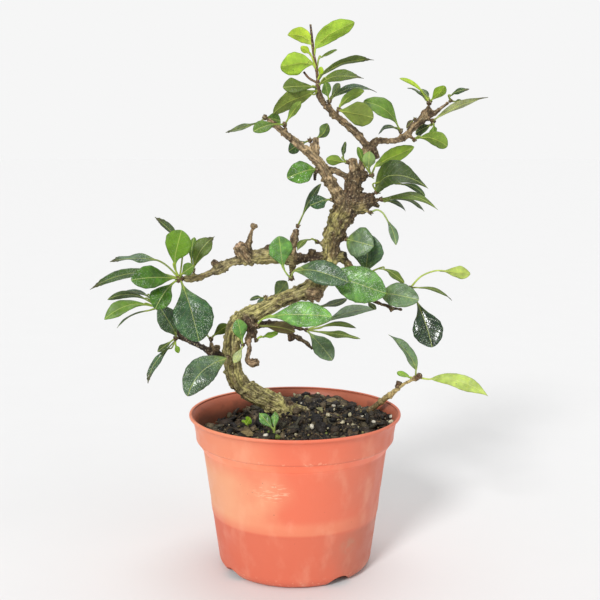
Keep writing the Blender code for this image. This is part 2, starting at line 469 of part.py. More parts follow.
def cone(name, start, end, start_radius, end_radius, sides, material):
    """Make a straight tapered bar with flat ends between two points."""
    way = (end - start).normalized()
    side = way.orthogonal().normalized()
    other = way.cross(side)
    rings = []
    for point, radius in ((start, start_radius), (end, end_radius)):
        angles = [math.tau * k / sides for k in range(sides)]
        rings.append([point + (side * math.cos(a) + other * math.sin(a)) * radius for a in angles])
    return solid(name, rings, material)


def tube(name, stations, sides, material, extra=0.0, lumps=0.06):
    """Make a closed knobby tube along stations (x, z, depth, diameter), made fatter by extra.

    Its corners stand out past the diameter so that its girth is that of a round branch.
    """
    points = [at(x, z, depth) for x, z, depth, diameter in stations]
    corner_share = math.pi / (sides * math.sin(math.pi / sides))
    points[0] = points[0] - (points[1] - points[0]).normalized() * extra
    points[-1] = points[-1] + (points[-1] - points[-2]).normalized() * extra
    ways, across = carried_frames(points, 0, Vector(FIRST_SIDE))
    station_wave, side_wave = LUMP_WAVES
    rings = []
    for i, (point, way, side) in enumerate(zip(points, ways, across)):
        other = way.cross(side)
        ring = []
        for k in range(sides):
            angle = math.tau * k / sides
            swell = 1 + lumps * math.sin(station_wave * i + side_wave * k)
            reach = stations[i][3] / 2 * corner_share * swell + extra
            ring.append(point + (side * math.cos(angle) + other * math.sin(angle)) * reach)
        rings.append(ring)
    return solid(name, rings, material)


def outline(u, belly):
    """Return the half width of a leaf at u along it, as a share of its greatest half width."""
    return math.sin(math.pi * min(u, 0.9999) ** belly) ** FULLNESS


def blade_normal(row, base, tip):
    """Return the way a leaf's upper face looks: turned about its length from the viewer."""
    along = (tip - base).normalized()
    eye = Vector((0.0, -EYE_DISTANCE, EYE_HEIGHT))
    to_eye = eye - (base + tip) / 2
    facing = (to_eye - along * to_eye.dot(along)).normalized()
    upward = along.cross(facing)
    if upward.z < 0:
        upward = -upward
    turn = math.radians(row.face)
    return facing * math.cos(turn) + upward * math.sin(turn), upward


def blade(name, root, row, material):
    """Make one leaf: a thin stalk from root, then a blade, folded at its midrib if it is wide."""
    base = at(*row.base)
    tip = at(*row.tip)
    axis = tip - base
    normal, upward = blade_normal(row, base, tip)
    folded = row.width >= FOLDED_WIDTH
    path = [root] + [at(*point) for point in row.via]
    stalk_points = len(path)
    halves = [STALK_WIDTH / 2] * stalk_points
    for u in FOLDED_STATIONS if folded else FLAT_STATIONS:
        bow = 4 * u * (1 - u)
        path.append(base + axis * u + (normal * row.arch + upward * row.sway) * bow)
        halves.append(max(row.width / 2 * outline(u, row.belly), STALK_WIDTH / 2))
    halves[-1] = STALK_WIDTH / 2
    ways, across = carried_frames(path, stalk_points + 2, normal.cross(axis.normalized()))
    fold = math.radians(row.fold)
    rings = []
    for i, (point, way, wing) in enumerate(zip(path, ways, across)):
        up = way.cross(wing)
        in_stalk = i < stalk_points
        skin = up * (STALK_WIDTH if in_stalk else BLADE_THICKNESS) / 2
        rise = 0.0 if in_stalk or not folded else math.sin(fold)
        span = wing * halves[i] * math.cos(fold)
        lift = up * halves[i] * rise
        row_of_points = [point - span + lift, point + span + lift]
        if folded:
            row_of_points.insert(1, point)
        lower = [corner - skin for corner in row_of_points]
        upper = [corner + skin for corner in reversed(row_of_points)]
        rings.append(lower + upper)
    slants = (0, 1, 0, 0, 1, 0) if folded else (0, 0, 1, 0)
    return solid(name, rings, material, slants)


def bud(name, centre, size, material):
    """Make a small faceted ball round a centre in millimetres."""
    shape = bmesh.new()
    bmesh.ops.create_icosphere(shape, subdivisions=1, radius=size / 2 * 0.001)
    mesh = bpy.data.meshes.new(name)
    shape.to_mesh(mesh)
    shape.free()
    mesh.transform(Matrix.Translation(centre * 0.001))
    mesh.materials.append(material)
    thing = bpy.data.objects.new(name, mesh)
    bpy.context.scene.collection.objects.link(thing)
    return thing


def combine(target, others, operation):
    """Apply one Boolean of a collection to the target, and remove the collection's objects."""
    group = bpy.data.collections.new(target.name + "_parts")
    bpy.context.scene.collection.children.link(group)
    for other in others:
        bpy.context.scene.collection.objects.unlink(other)
        group.objects.link(other)
    boolean = target.modifiers.new("combine", "BOOLEAN")
    boolean.operation = operation
    boolean.operand_type = "COLLECTION"
    boolean.collection = group
    boolean.solver = "EXACT"
    bpy.context.view_layer.update()
    evaluated = target.evaluated_get(bpy.context.evaluated_depsgraph_get())
    mesh = bpy.data.meshes.new_from_object(evaluated)
    target.modifiers.clear()
    target.data = mesh
    for other in others:
        bpy.data.objects.remove(other)
    bpy.data.collections.remove(group)
    return target


def ring_at(radius, z, segments):
    """Return a level ring of points round the upright axis, or one point on the axis."""
    if radius == 0:
        return [Vector((0, 0, z))]
    angles = [math.tau * k / segments for k in range(segments)]
    return [Vector((radius * math.cos(a), radius * math.sin(a), z)) for a in angles]


def outer_radius(z):
    """Return the pot's outside radius at a height above the foot's rounding."""
    corners = ((BODY_RADIUS_LOW, FOOT_ROUNDING), STEP_BOTTOM, STEP_TOP, COLLAR_TOP, LIP_NECK)
    for (r0, z0), (r1, z1) in zip(corners[:-1], corners[1:]):
        if z <= z1:
            return r0 + (r1 - r0) * (z - z0) / (z1 - z0)
    return LIP_NECK[0]


def foot_arc(inset, floor):
    """Return the rounded foot edge as (radius, z), from its flat up to the wall, set in."""
    points = []
    for step in range(ARC_STEPS + 1):
        angle = math.radians(90 * step / ARC_STEPS)
        radius = FOOT_RADIUS + (BODY_RADIUS_LOW - FOOT_RADIUS) * math.sin(angle) - inset
        points.append((radius, FOOT_ROUNDING - (FOOT_ROUNDING - floor) * math.cos(angle)))
    return points


def make_pot(material):
    """Make the pot: turned wall and floor, with drain slots in the foot and drain holes."""
    profile = [(0, 0)] + foot_arc(0, 0)
    profile += [STEP_BOTTOM, STEP_TOP, COLLAR_TOP, LIP_NECK]
    edge_width, edge_drop = LIP_EDGE
    profile += [(RIM_RADIUS, POT_HEIGHT - edge_drop), (RIM_RADIUS - edge_width, POT_HEIGHT)]
    profile += [(RIM_RADIUS - WALL, POT_HEIGHT)]
    profile += [(radius - WALL, z) for radius, z in (LIP_NECK, COLLAR_TOP, STEP_TOP, STEP_BOTTOM)]
    profile += reversed(foot_arc(WALL, FLOOR))
    profile.append((0, FLOOR))
    rings = [ring_at(radius, z, POT_SEGMENTS) for radius, z in profile]
    pot = solid("pot", rings, material)
    cutters = []
    for number, degrees in enumerate(SLOT_ANGLES):
        angle = math.radians(degrees - 90)
        way = Vector((math.cos(angle), math.sin(angle), 0))
        low = Vector((0, 0, -SLOT_ARCH_DROP))
        inner, outer = SLOT_REACH
        cutters.append(cone(f"slot_{number}", low + way * inner, low + way * outer,
                            SLOT_ARCH_RADIUS, SLOT_ARCH_RADIUS, SLOT_SIDES, None))
    for number in range(DRAIN_COUNT):
        angle = math.tau * (number + 0.5) / DRAIN_COUNT
        centre = Vector((math.cos(angle), math.sin(angle), 0)) * DRAIN_RING_RADIUS
        half_length = Vector((0, 0, FLOOR * 2))
        cutters.append(cone(f"drain_{number}", centre - half_length, centre + half_length,
                            DRAIN_RADIUS, DRAIN_RADIUS, DRAIN_SIDES, None))
    return combine(pot, cutters, "DIFFERENCE")


def soil_height(x, y):
    """Return the height of the soil at a place in the pot."""
    height = SOIL_LEVEL
    for mound_x, mound_y, rise, spread in MOUNDS:
        away = (x - mound_x) ** 2 + (y - mound_y) ** 2
        height += rise * math.exp(-away / (2 * spread ** 2))
    wave_x, wave_y = GRAIN_WAVES
    return height + SOIL_GRAIN * math.sin(wave_x * x + GRAIN_START) * math.cos(wave_y * y)


def soil_edge():
    """Return the ring where the soil's top meets the pot's wall."""
    edge = []
    for point in ring_at(COLLAR_TOP[0] - WALL, 0, SOIL_SEGMENTS):
        z = soil_height(point.x, point.y)
        outward = point.normalized()
        edge.append(outward * (outer_radius(z) - WALL - FIT_GAP) + Vector((0, 0, z)))
    return edge


def make_soil(material):
    """Make the soil that fills the pot, with plain holes for the stems that stand in it."""
    inset = WALL + FIT_GAP
    side = foot_arc(inset, FLOOR + FIT_GAP) + [(STEP_BOTTOM[0] - inset, STEP_BOTTOM[1])]
    rings = [ring_at(0, FLOOR + FIT_GAP, 1)]
    rings += [ring_at(radius, z, SOIL_SEGMENTS) for radius, z in side]
    rings.append(soil_edge())
    for radius in SOIL_RADII:
        level = ring_at(radius, 0, SOIL_SEGMENTS)
        rings.append([Vector((p.x, p.y, soil_height(p.x, p.y))) for p in level])
    rings.append([Vector((0, 0, soil_height(0, 0)))])
    soil = solid("soil", rings, material)
    cutters = []
    for name in ROOTS_IN_SOIL:
        sides, stations = BRANCHES[name]
        if name == "trunk":
            stations = stations[:TRUNK_STATIONS_IN_SOIL]
        cutters.append(tube(f"hole_{name}", stations, sides, None, FIT_GAP))
    cutters.append(tube("hole_side", SIDE_STEM[:4], 6, None, FIT_GAP))
    cutters.append(tube("hole_seedling", SEEDLING_STEM, 5, None, FIT_GAP))
    cutters.append(tube("hole_weed", WEED_STEM, 5, None, FIT_GAP))
    return combine(soil, cutters, "DIFFERENCE")


def make_spur(name, spray, material):
    """Make the woody spur under a spray, with a flat end just short of its bud."""
    hub = at(*spray.hub)
    foot = at(*spray.foot)
    end = hub - (hub - foot).normalized() * (spray.size / 2 + FIT_GAP)
    end_size = min(spray.foot_size, spray.size * SPUR_END_SHARE)
    return cone(name, foot, end, spray.foot_size / 2, end_size / 2, SPUR_SIDES, material)


def make_wood(material):
    """Make the tree's wood as one solid: root, trunk, branches, stubs and spurs."""
    limbs = {name: tube(name, stations, sides, material)
             for name, (sides, stations) in BRANCHES.items()}
    trunk = limbs.pop("trunk")
    spurs = [make_spur(f"spur_{name}", spray, material) for name, spray in SPRAYS.items()]
    combine(trunk, list(limbs.values()) + spurs, "UNION")
    trunk.name = "wood"
    return trunk


def make_spray(name, spray, material):
    """Make one spray: its bud with the leaves grown from it."""
    centre = at(*spray.hub)
    ball = bud(name, centre, spray.size, material)
    leaves = [blade(f"{name}_{i}", centre, row, material) for i, row in enumerate(spray.leaves)]
    return combine(ball, leaves, "UNION")


def make_leader(material):
    """Make the leader: the young shoot on top with the leaves along it."""
    stem = tube("spray_leader", LEADER_STEM, 6, material)
    parts = [tube("leader_stub", LEADER_STUB, 5, material)]
    for i, (station, row) in enumerate(LEADER_LEAVES):
        x, z, depth, _ = LEADER_STEM[station]
        parts.append(blade(f"leader_{i}", at(x, z, depth), row, material))
    return combine(stem, parts, "UNION")


def make_side_shoot(material):
    """Make the side shoot: a stem out of the soil with three leaves at its end."""
    stem = tube("side_shoot", SIDE_STEM, 6, material)
    parts = [tube("side_knob", SIDE_KNOB, 5, material)]
    for i, (root, row) in enumerate(zip(SIDE_LEAF_ROOTS, SIDE_LEAVES)):
        parts.append(blade(f"side_{i}", at(*root), row, material))
    return combine(stem, parts, "UNION")


def make_small_plant(name, stem_stations, rows, material):
    """Make a small plant that stands in the soil: a thin stem and its leaves."""
    stem = tube(name, stem_stations, 5, material, lumps=0.0)
    x, z, depth, diameter = stem_stations[-1]
    root = at(x, z - diameter / 2, depth)
    parts = [blade(f"{name}_{i}", root, row, material) for i, row in enumerate(rows)]
    return combine(stem, parts, "UNION")


def main():
    """Build every piece of the plant and its pot."""
    for thing in list(bpy.data.objects):
        bpy.data.objects.remove(thing)
    plastic = make_material("terracotta_plastic", (0.87, 0.25, 0.13), 0.45)
    mix = make_material("potting_mix", (0.035, 0.028, 0.022), 0.95)
    bark = make_material("bark", (0.19, 0.13, 0.07), 0.85)
    green = make_material("leaf", (0.09, 0.24, 0.045), 0.4)
    young = make_material("young_stem", (0.25, 0.24, 0.08), 0.7)
    make_pot(plastic)
    make_soil(mix)
    make_wood(bark)
    for name, spray in SPRAYS.items():
        make_spray(name, spray, green)
    make_leader(green)
    make_side_shoot(young)
    make_small_plant("seedling", SEEDLING_STEM, SEEDLING_LEAVES, green)
    make_small_plant("small_weed", WEED_STEM, WEED_LEAVES, green)


main()
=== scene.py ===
"""Fukien tea bonsai in a terracotta-coloured nursery pot: the finished plant and its pot.

Sizes are millimetres until a mesh is made. The tree is set out as a person sees it who
stands in front of the pot: x to the right and z up, read on the upright plane through the
pot's axis, and a depth behind that plane. Vantage.at turns such a reading into its place.
"""
import logging
import math
from collections.abc import Iterable
from dataclasses import dataclass, field
from enum import Enum
from itertools import product

import bmesh
import bpy
import numpy as np
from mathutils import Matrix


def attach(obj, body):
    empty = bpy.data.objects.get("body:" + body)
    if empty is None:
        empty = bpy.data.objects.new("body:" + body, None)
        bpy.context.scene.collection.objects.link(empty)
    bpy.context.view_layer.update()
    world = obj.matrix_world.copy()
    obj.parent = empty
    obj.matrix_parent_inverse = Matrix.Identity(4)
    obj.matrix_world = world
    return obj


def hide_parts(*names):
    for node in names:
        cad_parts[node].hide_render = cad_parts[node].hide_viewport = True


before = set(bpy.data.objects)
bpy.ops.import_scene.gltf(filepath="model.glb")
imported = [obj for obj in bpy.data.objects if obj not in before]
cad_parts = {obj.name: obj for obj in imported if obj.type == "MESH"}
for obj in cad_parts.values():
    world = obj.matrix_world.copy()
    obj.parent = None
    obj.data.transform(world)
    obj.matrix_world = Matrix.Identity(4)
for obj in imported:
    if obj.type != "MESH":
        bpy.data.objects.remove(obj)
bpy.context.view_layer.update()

LOG = logging.getLogger("bonsai")
MM = 0.001

Array = np.ndarray
Reading = tuple[float, float, float]
Rgb = tuple[float, float, float]
Stations = tuple[tuple[float, ...], ...]
Piece = bpy.types.Object
Mesh = bpy.types.Mesh
Material = bpy.types.Material
Socket = bpy.types.NodeSocket


# Places and shapes


@dataclass(frozen=True)
class Vantage:
    """Where the viewer stands whose readings set out the tree."""

    distance: float = 700.0
    height: float = 295.0
    pitch: float = 8.5
    frame_pixels: float = 600.0
    focal_pixels: float = 1010.0
    shift_pixels: float = 5.0

    def at(self, readings: Array) -> Array:
        """Turn readings into places.

        With stretch = (distance + depth) / distance, a reading (x, z, depth) lies at
        (x * stretch, depth, height + (z - height) * stretch).

        Args:
            readings: Rows of x, z and depth.

        Returns:
            Rows of x, y and z.
        """
        x, z, depth = np.moveaxis(np.asarray(readings, float), -1, 0)
        stretch = (self.distance + depth) / self.distance
        return np.stack([x * stretch, depth, self.height + (z - self.height) * stretch], axis=-1)

    def eye(self) -> Array:
        """Return the viewer's place."""
        return np.array([0.0, -self.distance, self.height])


VIEW = Vantage()
FIRST_SIDE = np.array([0.31, 0.9, 0.27])


def unit(vectors: Array) -> Array:
    """Return the vectors, in the last axis, with length one."""
    return vectors / np.maximum(np.linalg.norm(vectors, axis=-1, keepdims=True), 1e-12)


def around(count: int) -> Array:
    """Return so many angles, spread evenly over a full turn."""
    return np.arange(count) * math.tau / count


def heading(angle: float) -> Array:
    """Return the level direction of length one at an angle from the x axis."""
    return np.array([math.cos(angle), math.sin(angle), 0.0])


def fade(values: Array, low: float, high: float) -> Array:
    """Return 0 below low and 1 above high, with 3t^2 - 2t^3 between them."""
    share = np.clip((values - low) / (high - low), 0.0, 1.0)
    return share * share * (3.0 - 2.0 * share)


def flow(knots: Array, steps: int) -> Array:
    """Run a smooth path through knots.

    Between knots b and c, with neighbours a and d, the path at t is
    (2b + (c - a)t + (2a - 5b + 4c - d)t^2 + (3b - a - 3c + d)t^3) / 2.

    Args:
        knots: Rows of numbers, at least two.
        steps: How many points each stretch between two knots gets.

    Returns:
        The path's rows, with the last knot at its end.
    """
    knots = np.asarray(knots, float)
    padded = np.vstack([2 * knots[0] - knots[1], knots, 2 * knots[-1] - knots[-2]])
    a, b, c, d = (padded[i:len(padded) - 3 + i][:, None, :] for i in range(4))
    t = (np.arange(steps) / steps)[None, :, None]
    path = b * 2 + (c - a) * t
    path = path + (2 * a - 5 * b + 4 * c - d) * t ** 2 + (3 * b - a - 3 * c + d) * t ** 3
    return np.vstack([path.reshape(-1, knots.shape[1]) / 2, knots[-1:]])


def smooth_path(stations: Stations, steps: int) -> Array:
    """Run a smooth path through stations: rows of x, y, z and diameter."""
    rows = np.array(stations)
    return flow(np.hstack([VIEW.at(rows[:, :3]), rows[:, 3:]]), steps)


def stretches(path: Array) -> Array:
    """Return the lengths between a path's points."""
    return np.linalg.norm(np.diff(path[:, :3], axis=0), axis=1)


def carried_sides(path: Array) -> tuple[Array, Array]:
    """Carry a side direction along a path without twist, starting nearest to FIRST_SIDE.

    Args:
        path: The path's points.

    Returns:
        At each point the side, and the cross product of the path's direction and the side.
    """
    ways = unit(np.gradient(path, axis=0))
    sides = np.empty_like(ways)
    side = FIRST_SIDE
    for i, way in enumerate(ways):
        side = unit(side - way * (side @ way))
        sides[i] = side
    return sides, np.cross(ways, sides)


NOISE_PRIMES = np.array([374761393, 668265263, 1103515245])
NOISE_MASK = 0x7FFFFFFF


def noise(points: Array, seed: int = 0) -> Array:
    """Return smooth noise from -1 to 1, with one cell to a unit.

    Each corner of the lattice gets a value from a whole-number hash, and the eight corners
    round a point are blended by 3t^2 - 2t^3 of its place between them.

    Args:
        points: Rows of three numbers.
        seed: Which noise of the many.

    Returns:
        One value for each row.
    """
    cell = np.floor(points).astype(np.int64)
    part = points - cell
    part = part * part * (3 - 2 * part)
    total = np.zeros(len(points))
    for corner in product((0, 1), repeat=3):
        mixed = ((cell + np.array(corner)) @ NOISE_PRIMES + seed * 7919) & NOISE_MASK
        mixed = ((mixed ^ (mixed >> 13)) * 1274126177) & NOISE_MASK
        value = (mixed ^ (mixed >> 16)) % 65536 / 32767.5 - 1
        total += np.prod(np.where(corner, part, 1 - part), axis=1) * value
    return total


def layered_noise(points: Array, layers: int, seed: int = 0) -> Array:
    """Return noise summed over layers, each twice as fine and half as strong as the last."""
    return sum(noise(points * 2 ** i, seed + i) / 2 ** i for i in range(layers))


def linear(rgb: Rgb) -> Array:
    """Turn a display colour of 0 to 255 into linear light from 0 to 1."""
    share = np.asarray(rgb, float) / 255
    return np.where(share <= 0.04045, share / 12.92, ((share + 0.055) / 1.055) ** 2.4)


@dataclass
class Surface:
    """A closed skin: its points, its faces by corner count, and values at its points."""

    points: Array
    faces: list[Array]
    values: dict[str, Array] = field(default_factory=dict)
    finish: int = 0

    def mark_plain(self) -> None:
        """Say that no rib and no edge is near, so that the leaf finish draws none here."""
        far = np.full((len(self.points), 1), 9.0)
        self.values.update({"rib": far, "edge": far})


def skin(rings: Array, finish: int = 0, **values: Array) -> Surface:
    """Join rings of points into a closed skin.

    Corner k of ring i is joined to corner k + 1 and to ring i + 1, and a flat face closes
    each end. Rings run so that the right-hand rule points along the path.

    Args:
        rings: Points as (ring, corner, xyz).
        finish: Which of the piece's finishes it takes.
        values: Named values, each shaped (ring, corner) or (ring, corner, rgb).

    Returns:
        The skin.
    """
    count, corners = rings.shape[:2]
    index = np.arange(count * corners).reshape(count, corners)
    after = np.roll(index, -1, axis=1)
    sides = np.stack([index[:-1], after[:-1], after[1:], index[1:]], axis=-1).reshape(-1, 4)
    ends = np.stack([index[0][::-1], index[-1]])
    flat = {name: value.reshape(count * corners, -1) for name, value in values.items()}
    return Surface(rings.reshape(-1, 3), [sides, ends], flat, finish)


def tube(path: Array, radii: Array, corners: int, tint: Array, finish: int = 0) -> Surface:
    """Carry a circle along a path: point + radius * (side * cos(a) + other * sin(a)).

    Args:
        path: The middle line's points.
        radii: The radius at each point, or at each point and corner.
        corners: How many corners the circle has.
        tint: One linear colour, or one for each point.
        finish: Which of the piece's finishes it takes.

    Returns:
        The tube as a closed skin.
    """
    sides, others = carried_sides(path)
    angles = around(corners)
    circle = sides[:, None] * np.cos(angles)[None, :, None]
    circle = circle + others[:, None] * np.sin(angles)[None, :, None]
    radii = np.asarray(radii, float)
    reach = radii[:, None] if radii.ndim == 1 else radii
    rings = path[:, None] + circle * reach[..., None]
    tints = np.broadcast_to(np.atleast_2d(tint)[:, None], (len(path), corners, 3))
    return skin(rings, finish, tint=tints)


def make_piece(name: str, surfaces: list[Surface], finishes: list[Material],
               slot: str, *nodes: str) -> Piece:
    """Make one piece of the plant from skins, and let it stand for its solids.

    Args:
        name: The piece's name.
        surfaces: Its skins, in millimetres.
        finishes: The materials that the skins' finish numbers choose from.
        slot: The record's material slot; not used.
        nodes: The solids that it stands for.

    Returns:
        The new object.
    """
    starts = np.cumsum([0] + [len(surface.points) for surface in surfaces])
    faces: list[list[int]] = []
    finish_numbers: list[int] = []
    for start, surface in zip(starts, surfaces):
        for group in surface.faces:
            faces.extend((group + start).tolist())
            finish_numbers.extend([surface.finish] * len(group))
    points = np.concatenate([surface.points for surface in surfaces]) * MM
    mesh = bpy.data.meshes.new(name)
    mesh.from_pydata(points, [], faces)
    mesh.polygons.foreach_set("material_index", finish_numbers)
    mesh.polygons.foreach_set("use_smooth", [True] * len(faces))
    for key in sorted({key for surface in surfaces for key in surface.values}):
        width = next(s.values[key].shape[1] for s in surfaces if key in s.values)
        parts = [s.values.get(key, np.zeros((len(s.points), width))) for s in surfaces]
        store(mesh, key, np.concatenate(parts))
    for finish in finishes:
        mesh.materials.append(finish)
    piece = placed(name, mesh)
    dress(piece, slot, *nodes)
    return piece


def placed(name: str, data: object) -> Piece:
    """Return a new object in the scene that shows a mesh, a lamp or a camera."""
    thing = bpy.data.objects.new(name, data)
    bpy.context.scene.collection.objects.link(thing)
    return thing


def settle(piece: Piece, finish: Material) -> Mesh:
    """Work a piece's modifiers into its mesh, give that its one finish, and return it."""
    bpy.context.view_layer.update()
    mesh = bpy.data.meshes.new_from_object(piece.evaluated_get(bpy.context.evaluated_depsgraph_get()))
    piece.modifiers.clear()
    piece.data = mesh
    mesh.materials.clear()
    mesh.materials.append(finish)
    return mesh


def rows_of(holder: object, name: str) -> Array:
    """Return the three numbers that Blender holds for each point of a mesh."""
    rows = np.empty(len(holder) * 3, np.float32)
    holder.foreach_get(name, rows)
    return rows.reshape(-1, 3).astype(float)


def store(mesh: Mesh, name: str, values: Array, kind: str = "") -> None:
    """Store named values at a mesh's points.

    Args:
        mesh: The mesh.
        name: The name that the finishes read.
        values: One number, or a colour or a vector, for each point.
        kind: Blender's kind of value, or nothing for a colour or a number by its width.
    """
    values = np.asarray(values, float).reshape(len(mesh.vertices), -1)
    kind = kind or ("FLOAT_COLOR" if values.shape[1] == 3 else "FLOAT")
    if kind == "FLOAT_COLOR":
        values = np.hstack([values, np.ones((len(values), 1))])
    slot = {"FLOAT_COLOR": "color", "FLOAT": "value", "FLOAT_VECTOR": "vector"}[kind]
    layer = mesh.attributes.new(name, kind, "POINT")
    layer.data.foreach_set(slot, values.astype(np.float32).ravel())


def dress(piece: Piece, slot: str, *nodes: str) -> None:
    """Let a piece ride with the plant and let it stand for its solids."""
    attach(piece, "root")
    if nodes:
        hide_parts(*nodes)


def count_triangles(piece: Piece) -> int:
    """Return how many triangles a piece has."""
    return sum(len(face.vertices) - 2 for face in piece.data.polygons)


# Finishes

BLACK = (0.0, 0.0, 0.0)


class Recipe:
    """A material's node tree, built one named step at a time."""

    def __init__(self, name: str) -> None:
        """Start a material with its shader and the piece's own coordinates."""
        self.material = bpy.data.materials.new(name)
        self.material.use_nodes = True
        self.tree = self.material.node_tree
        self.shader = self.tree.nodes["Principled BSDF"]
        self.coordinates = self.node("ShaderNodeTexCoord", "Object", {})

    def link(self, source: object, socket: Socket) -> None:
        """Lead a socket, or put a number or a colour, into another socket."""
        if isinstance(source, Socket):
            self.tree.links.new(source, socket)
        elif isinstance(source, (int, float)):
            socket.default_value = source
        else:
            values = tuple(float(value) for value in source)
            socket.default_value = values + (1.0,) * (len(socket.default_value) - len(values))

    def node(self, kind: str, output: str, inputs: dict[str | int, object], **settings: object) -> Socket:
        """Add a node to the tree.

        Args:
            kind: Blender's name for it.
            output: Which of its outputs is wanted.
            inputs: What its inputs are led from or set to.
            settings: Its other settings.

        Returns:
            The output.
        """
        node = self.tree.nodes.new(kind)
        for name, setting in settings.items():
            setattr(node, name, setting)
        for name, source in inputs.items():
            self.link(source, node.inputs[name])
        return node.outputs[output]

    def held(self, name: str, output: str = "Fac") -> Socket:
        """Return what the mesh holds at its points: a number, or else its Color or Vector."""
        return self.node("ShaderNodeAttribute", output, {}, attribute_name=name)

    def stretched(self, scale: Rgb) -> Socket:
        """Return the coordinates scaled along each axis."""
        return self.node("ShaderNodeMapping", "Vector", {"Vector": self.coordinates, "Scale": scale})

    def mottle(self, cell: float, detail: float = 3.0, vector: Socket | None = None) -> Socket:
        """Return noise from 0 to 1 whose cells are so many millimetres wide."""
        return self.node("ShaderNodeTexNoise", "Fac", {
            "Vector": vector or self.coordinates, "Scale": 1 / (cell * MM), "Detail": detail})

    def cells(self, cell: float) -> Socket:
        """Return the distance, in cells, from scattered points so many millimetres apart."""
        return self.node("ShaderNodeTexVoronoi", "Distance", {
            "Vector": self.coordinates, "Scale": 1 / (cell * MM)})

    def patches(self, cell: float, detail: float, low: float, high: float,
                vector: Socket | None = None) -> Socket:
        """Return 0 where mottled noise is low and 1 where it is high."""
        return self.step(self.mottle(cell, detail, vector), low, high)

    def spots(self, cell: float, far: float, near: float) -> Socket:
        """Return 1 at scattered points and 0 from a share of the spacing away."""
        return self.step(self.cells(cell), far, near)

    def axis(self, name: str) -> Socket:
        """Return one coordinate, X, Y or Z, in millimetres."""
        place = self.node("ShaderNodeSeparateXYZ", name, {"Vector": self.coordinates})
        return self.math("DIVIDE", place, MM)

    def near(self, centre: Rgb, reach: Rgb) -> Socket:
        """Return 1 at a place and 0 outside an egg round it, all in millimetres."""
        place = self.node("ShaderNodeMapping", "Vector", {
            "Vector": self.coordinates, "Location": [-c / r for c, r in zip(centre, reach)],
            "Scale": [1 / (r * MM) for r in reach]})
        away = self.node("ShaderNodeVectorMath", "Value", {0: place}, operation="LENGTH")
        return self.step(away, 1.0, 0.3)

    def math(self, operation: str, first: object, second: object = 0.0) -> Socket:
        """Return one arithmetic step on one or two numbers."""
        return self.node("ShaderNodeMath", "Value", {0: first, 1: second}, operation=operation)

    def times(self, first: object, second: object) -> Socket:
        """Return the product of two numbers."""
        return self.math("MULTIPLY", first, second)

    def plus(self, first: object, second: object) -> Socket:
        """Return the sum of two numbers."""
        return self.math("ADD", first, second)

    def minus(self, first: object, second: object) -> Socket:
        """Return the first number less the second."""
        return self.math("SUBTRACT", first, second)

    def step(self, source: object, low: float, high: float, start: float = 0.0, end: float = 1.0) -> Socket:
        """Return start below low and end above high, with a soft step between them."""
        if low > high:
            low, high, start, end = high, low, end, start
        return self.node("ShaderNodeMapRange", "Result", {
            "Value": source, "From Min": low, "From Max": high, "To Min": start, "To Max": end},
            interpolation_type="SMOOTHSTEP")

    def mix(self, share: object, first: object, second: object, blend: str = "MIX") -> Socket:
        """Return the first colour with a share of the second mixed in."""
        return self.node("ShaderNodeMix", "Result", {"Factor": share, "A": first, "B": second},
                         data_type="RGBA", blend_type=blend, clamp_factor=True)

    def over(self, base: object, colour: Rgb, share: object, weight: float = 1.0) -> Socket:
        """Return the base with a display colour laid over it where the share is high."""
        return self.mix(self.times(share, weight), base, linear(colour))

    def darker(self, base: object, share: float, where: object) -> Socket:
        """Return the base, darkened by a share where the last number is low."""
        return self.mix(where, self.mix(share, base, BLACK), base)

    def raise_by(self, height: object, depth: float, strength: float = 1.0) -> None:
        """Bump the surface by a height from 0 to 1 that stands for so many millimetres."""
        inputs = {"Height": height, "Strength": strength, "Distance": depth * MM}
        normal = self.shader.inputs["Normal"]
        if normal.is_linked:
            inputs["Normal"] = normal.links[0].from_socket
        self.link(self.node("ShaderNodeBump", "Normal", inputs), normal)

    def finished(self, base: object, roughness: object, specular: float = 0.4) -> Material:
        """Give the shader its colour, roughness and specular level, and return the material."""
        self.link(base, self.shader.inputs["Base Color"])
        self.link(roughness, self.shader.inputs["Roughness"])
        self.shader.inputs["Specular IOR Level"].default_value = specular
        return self.material


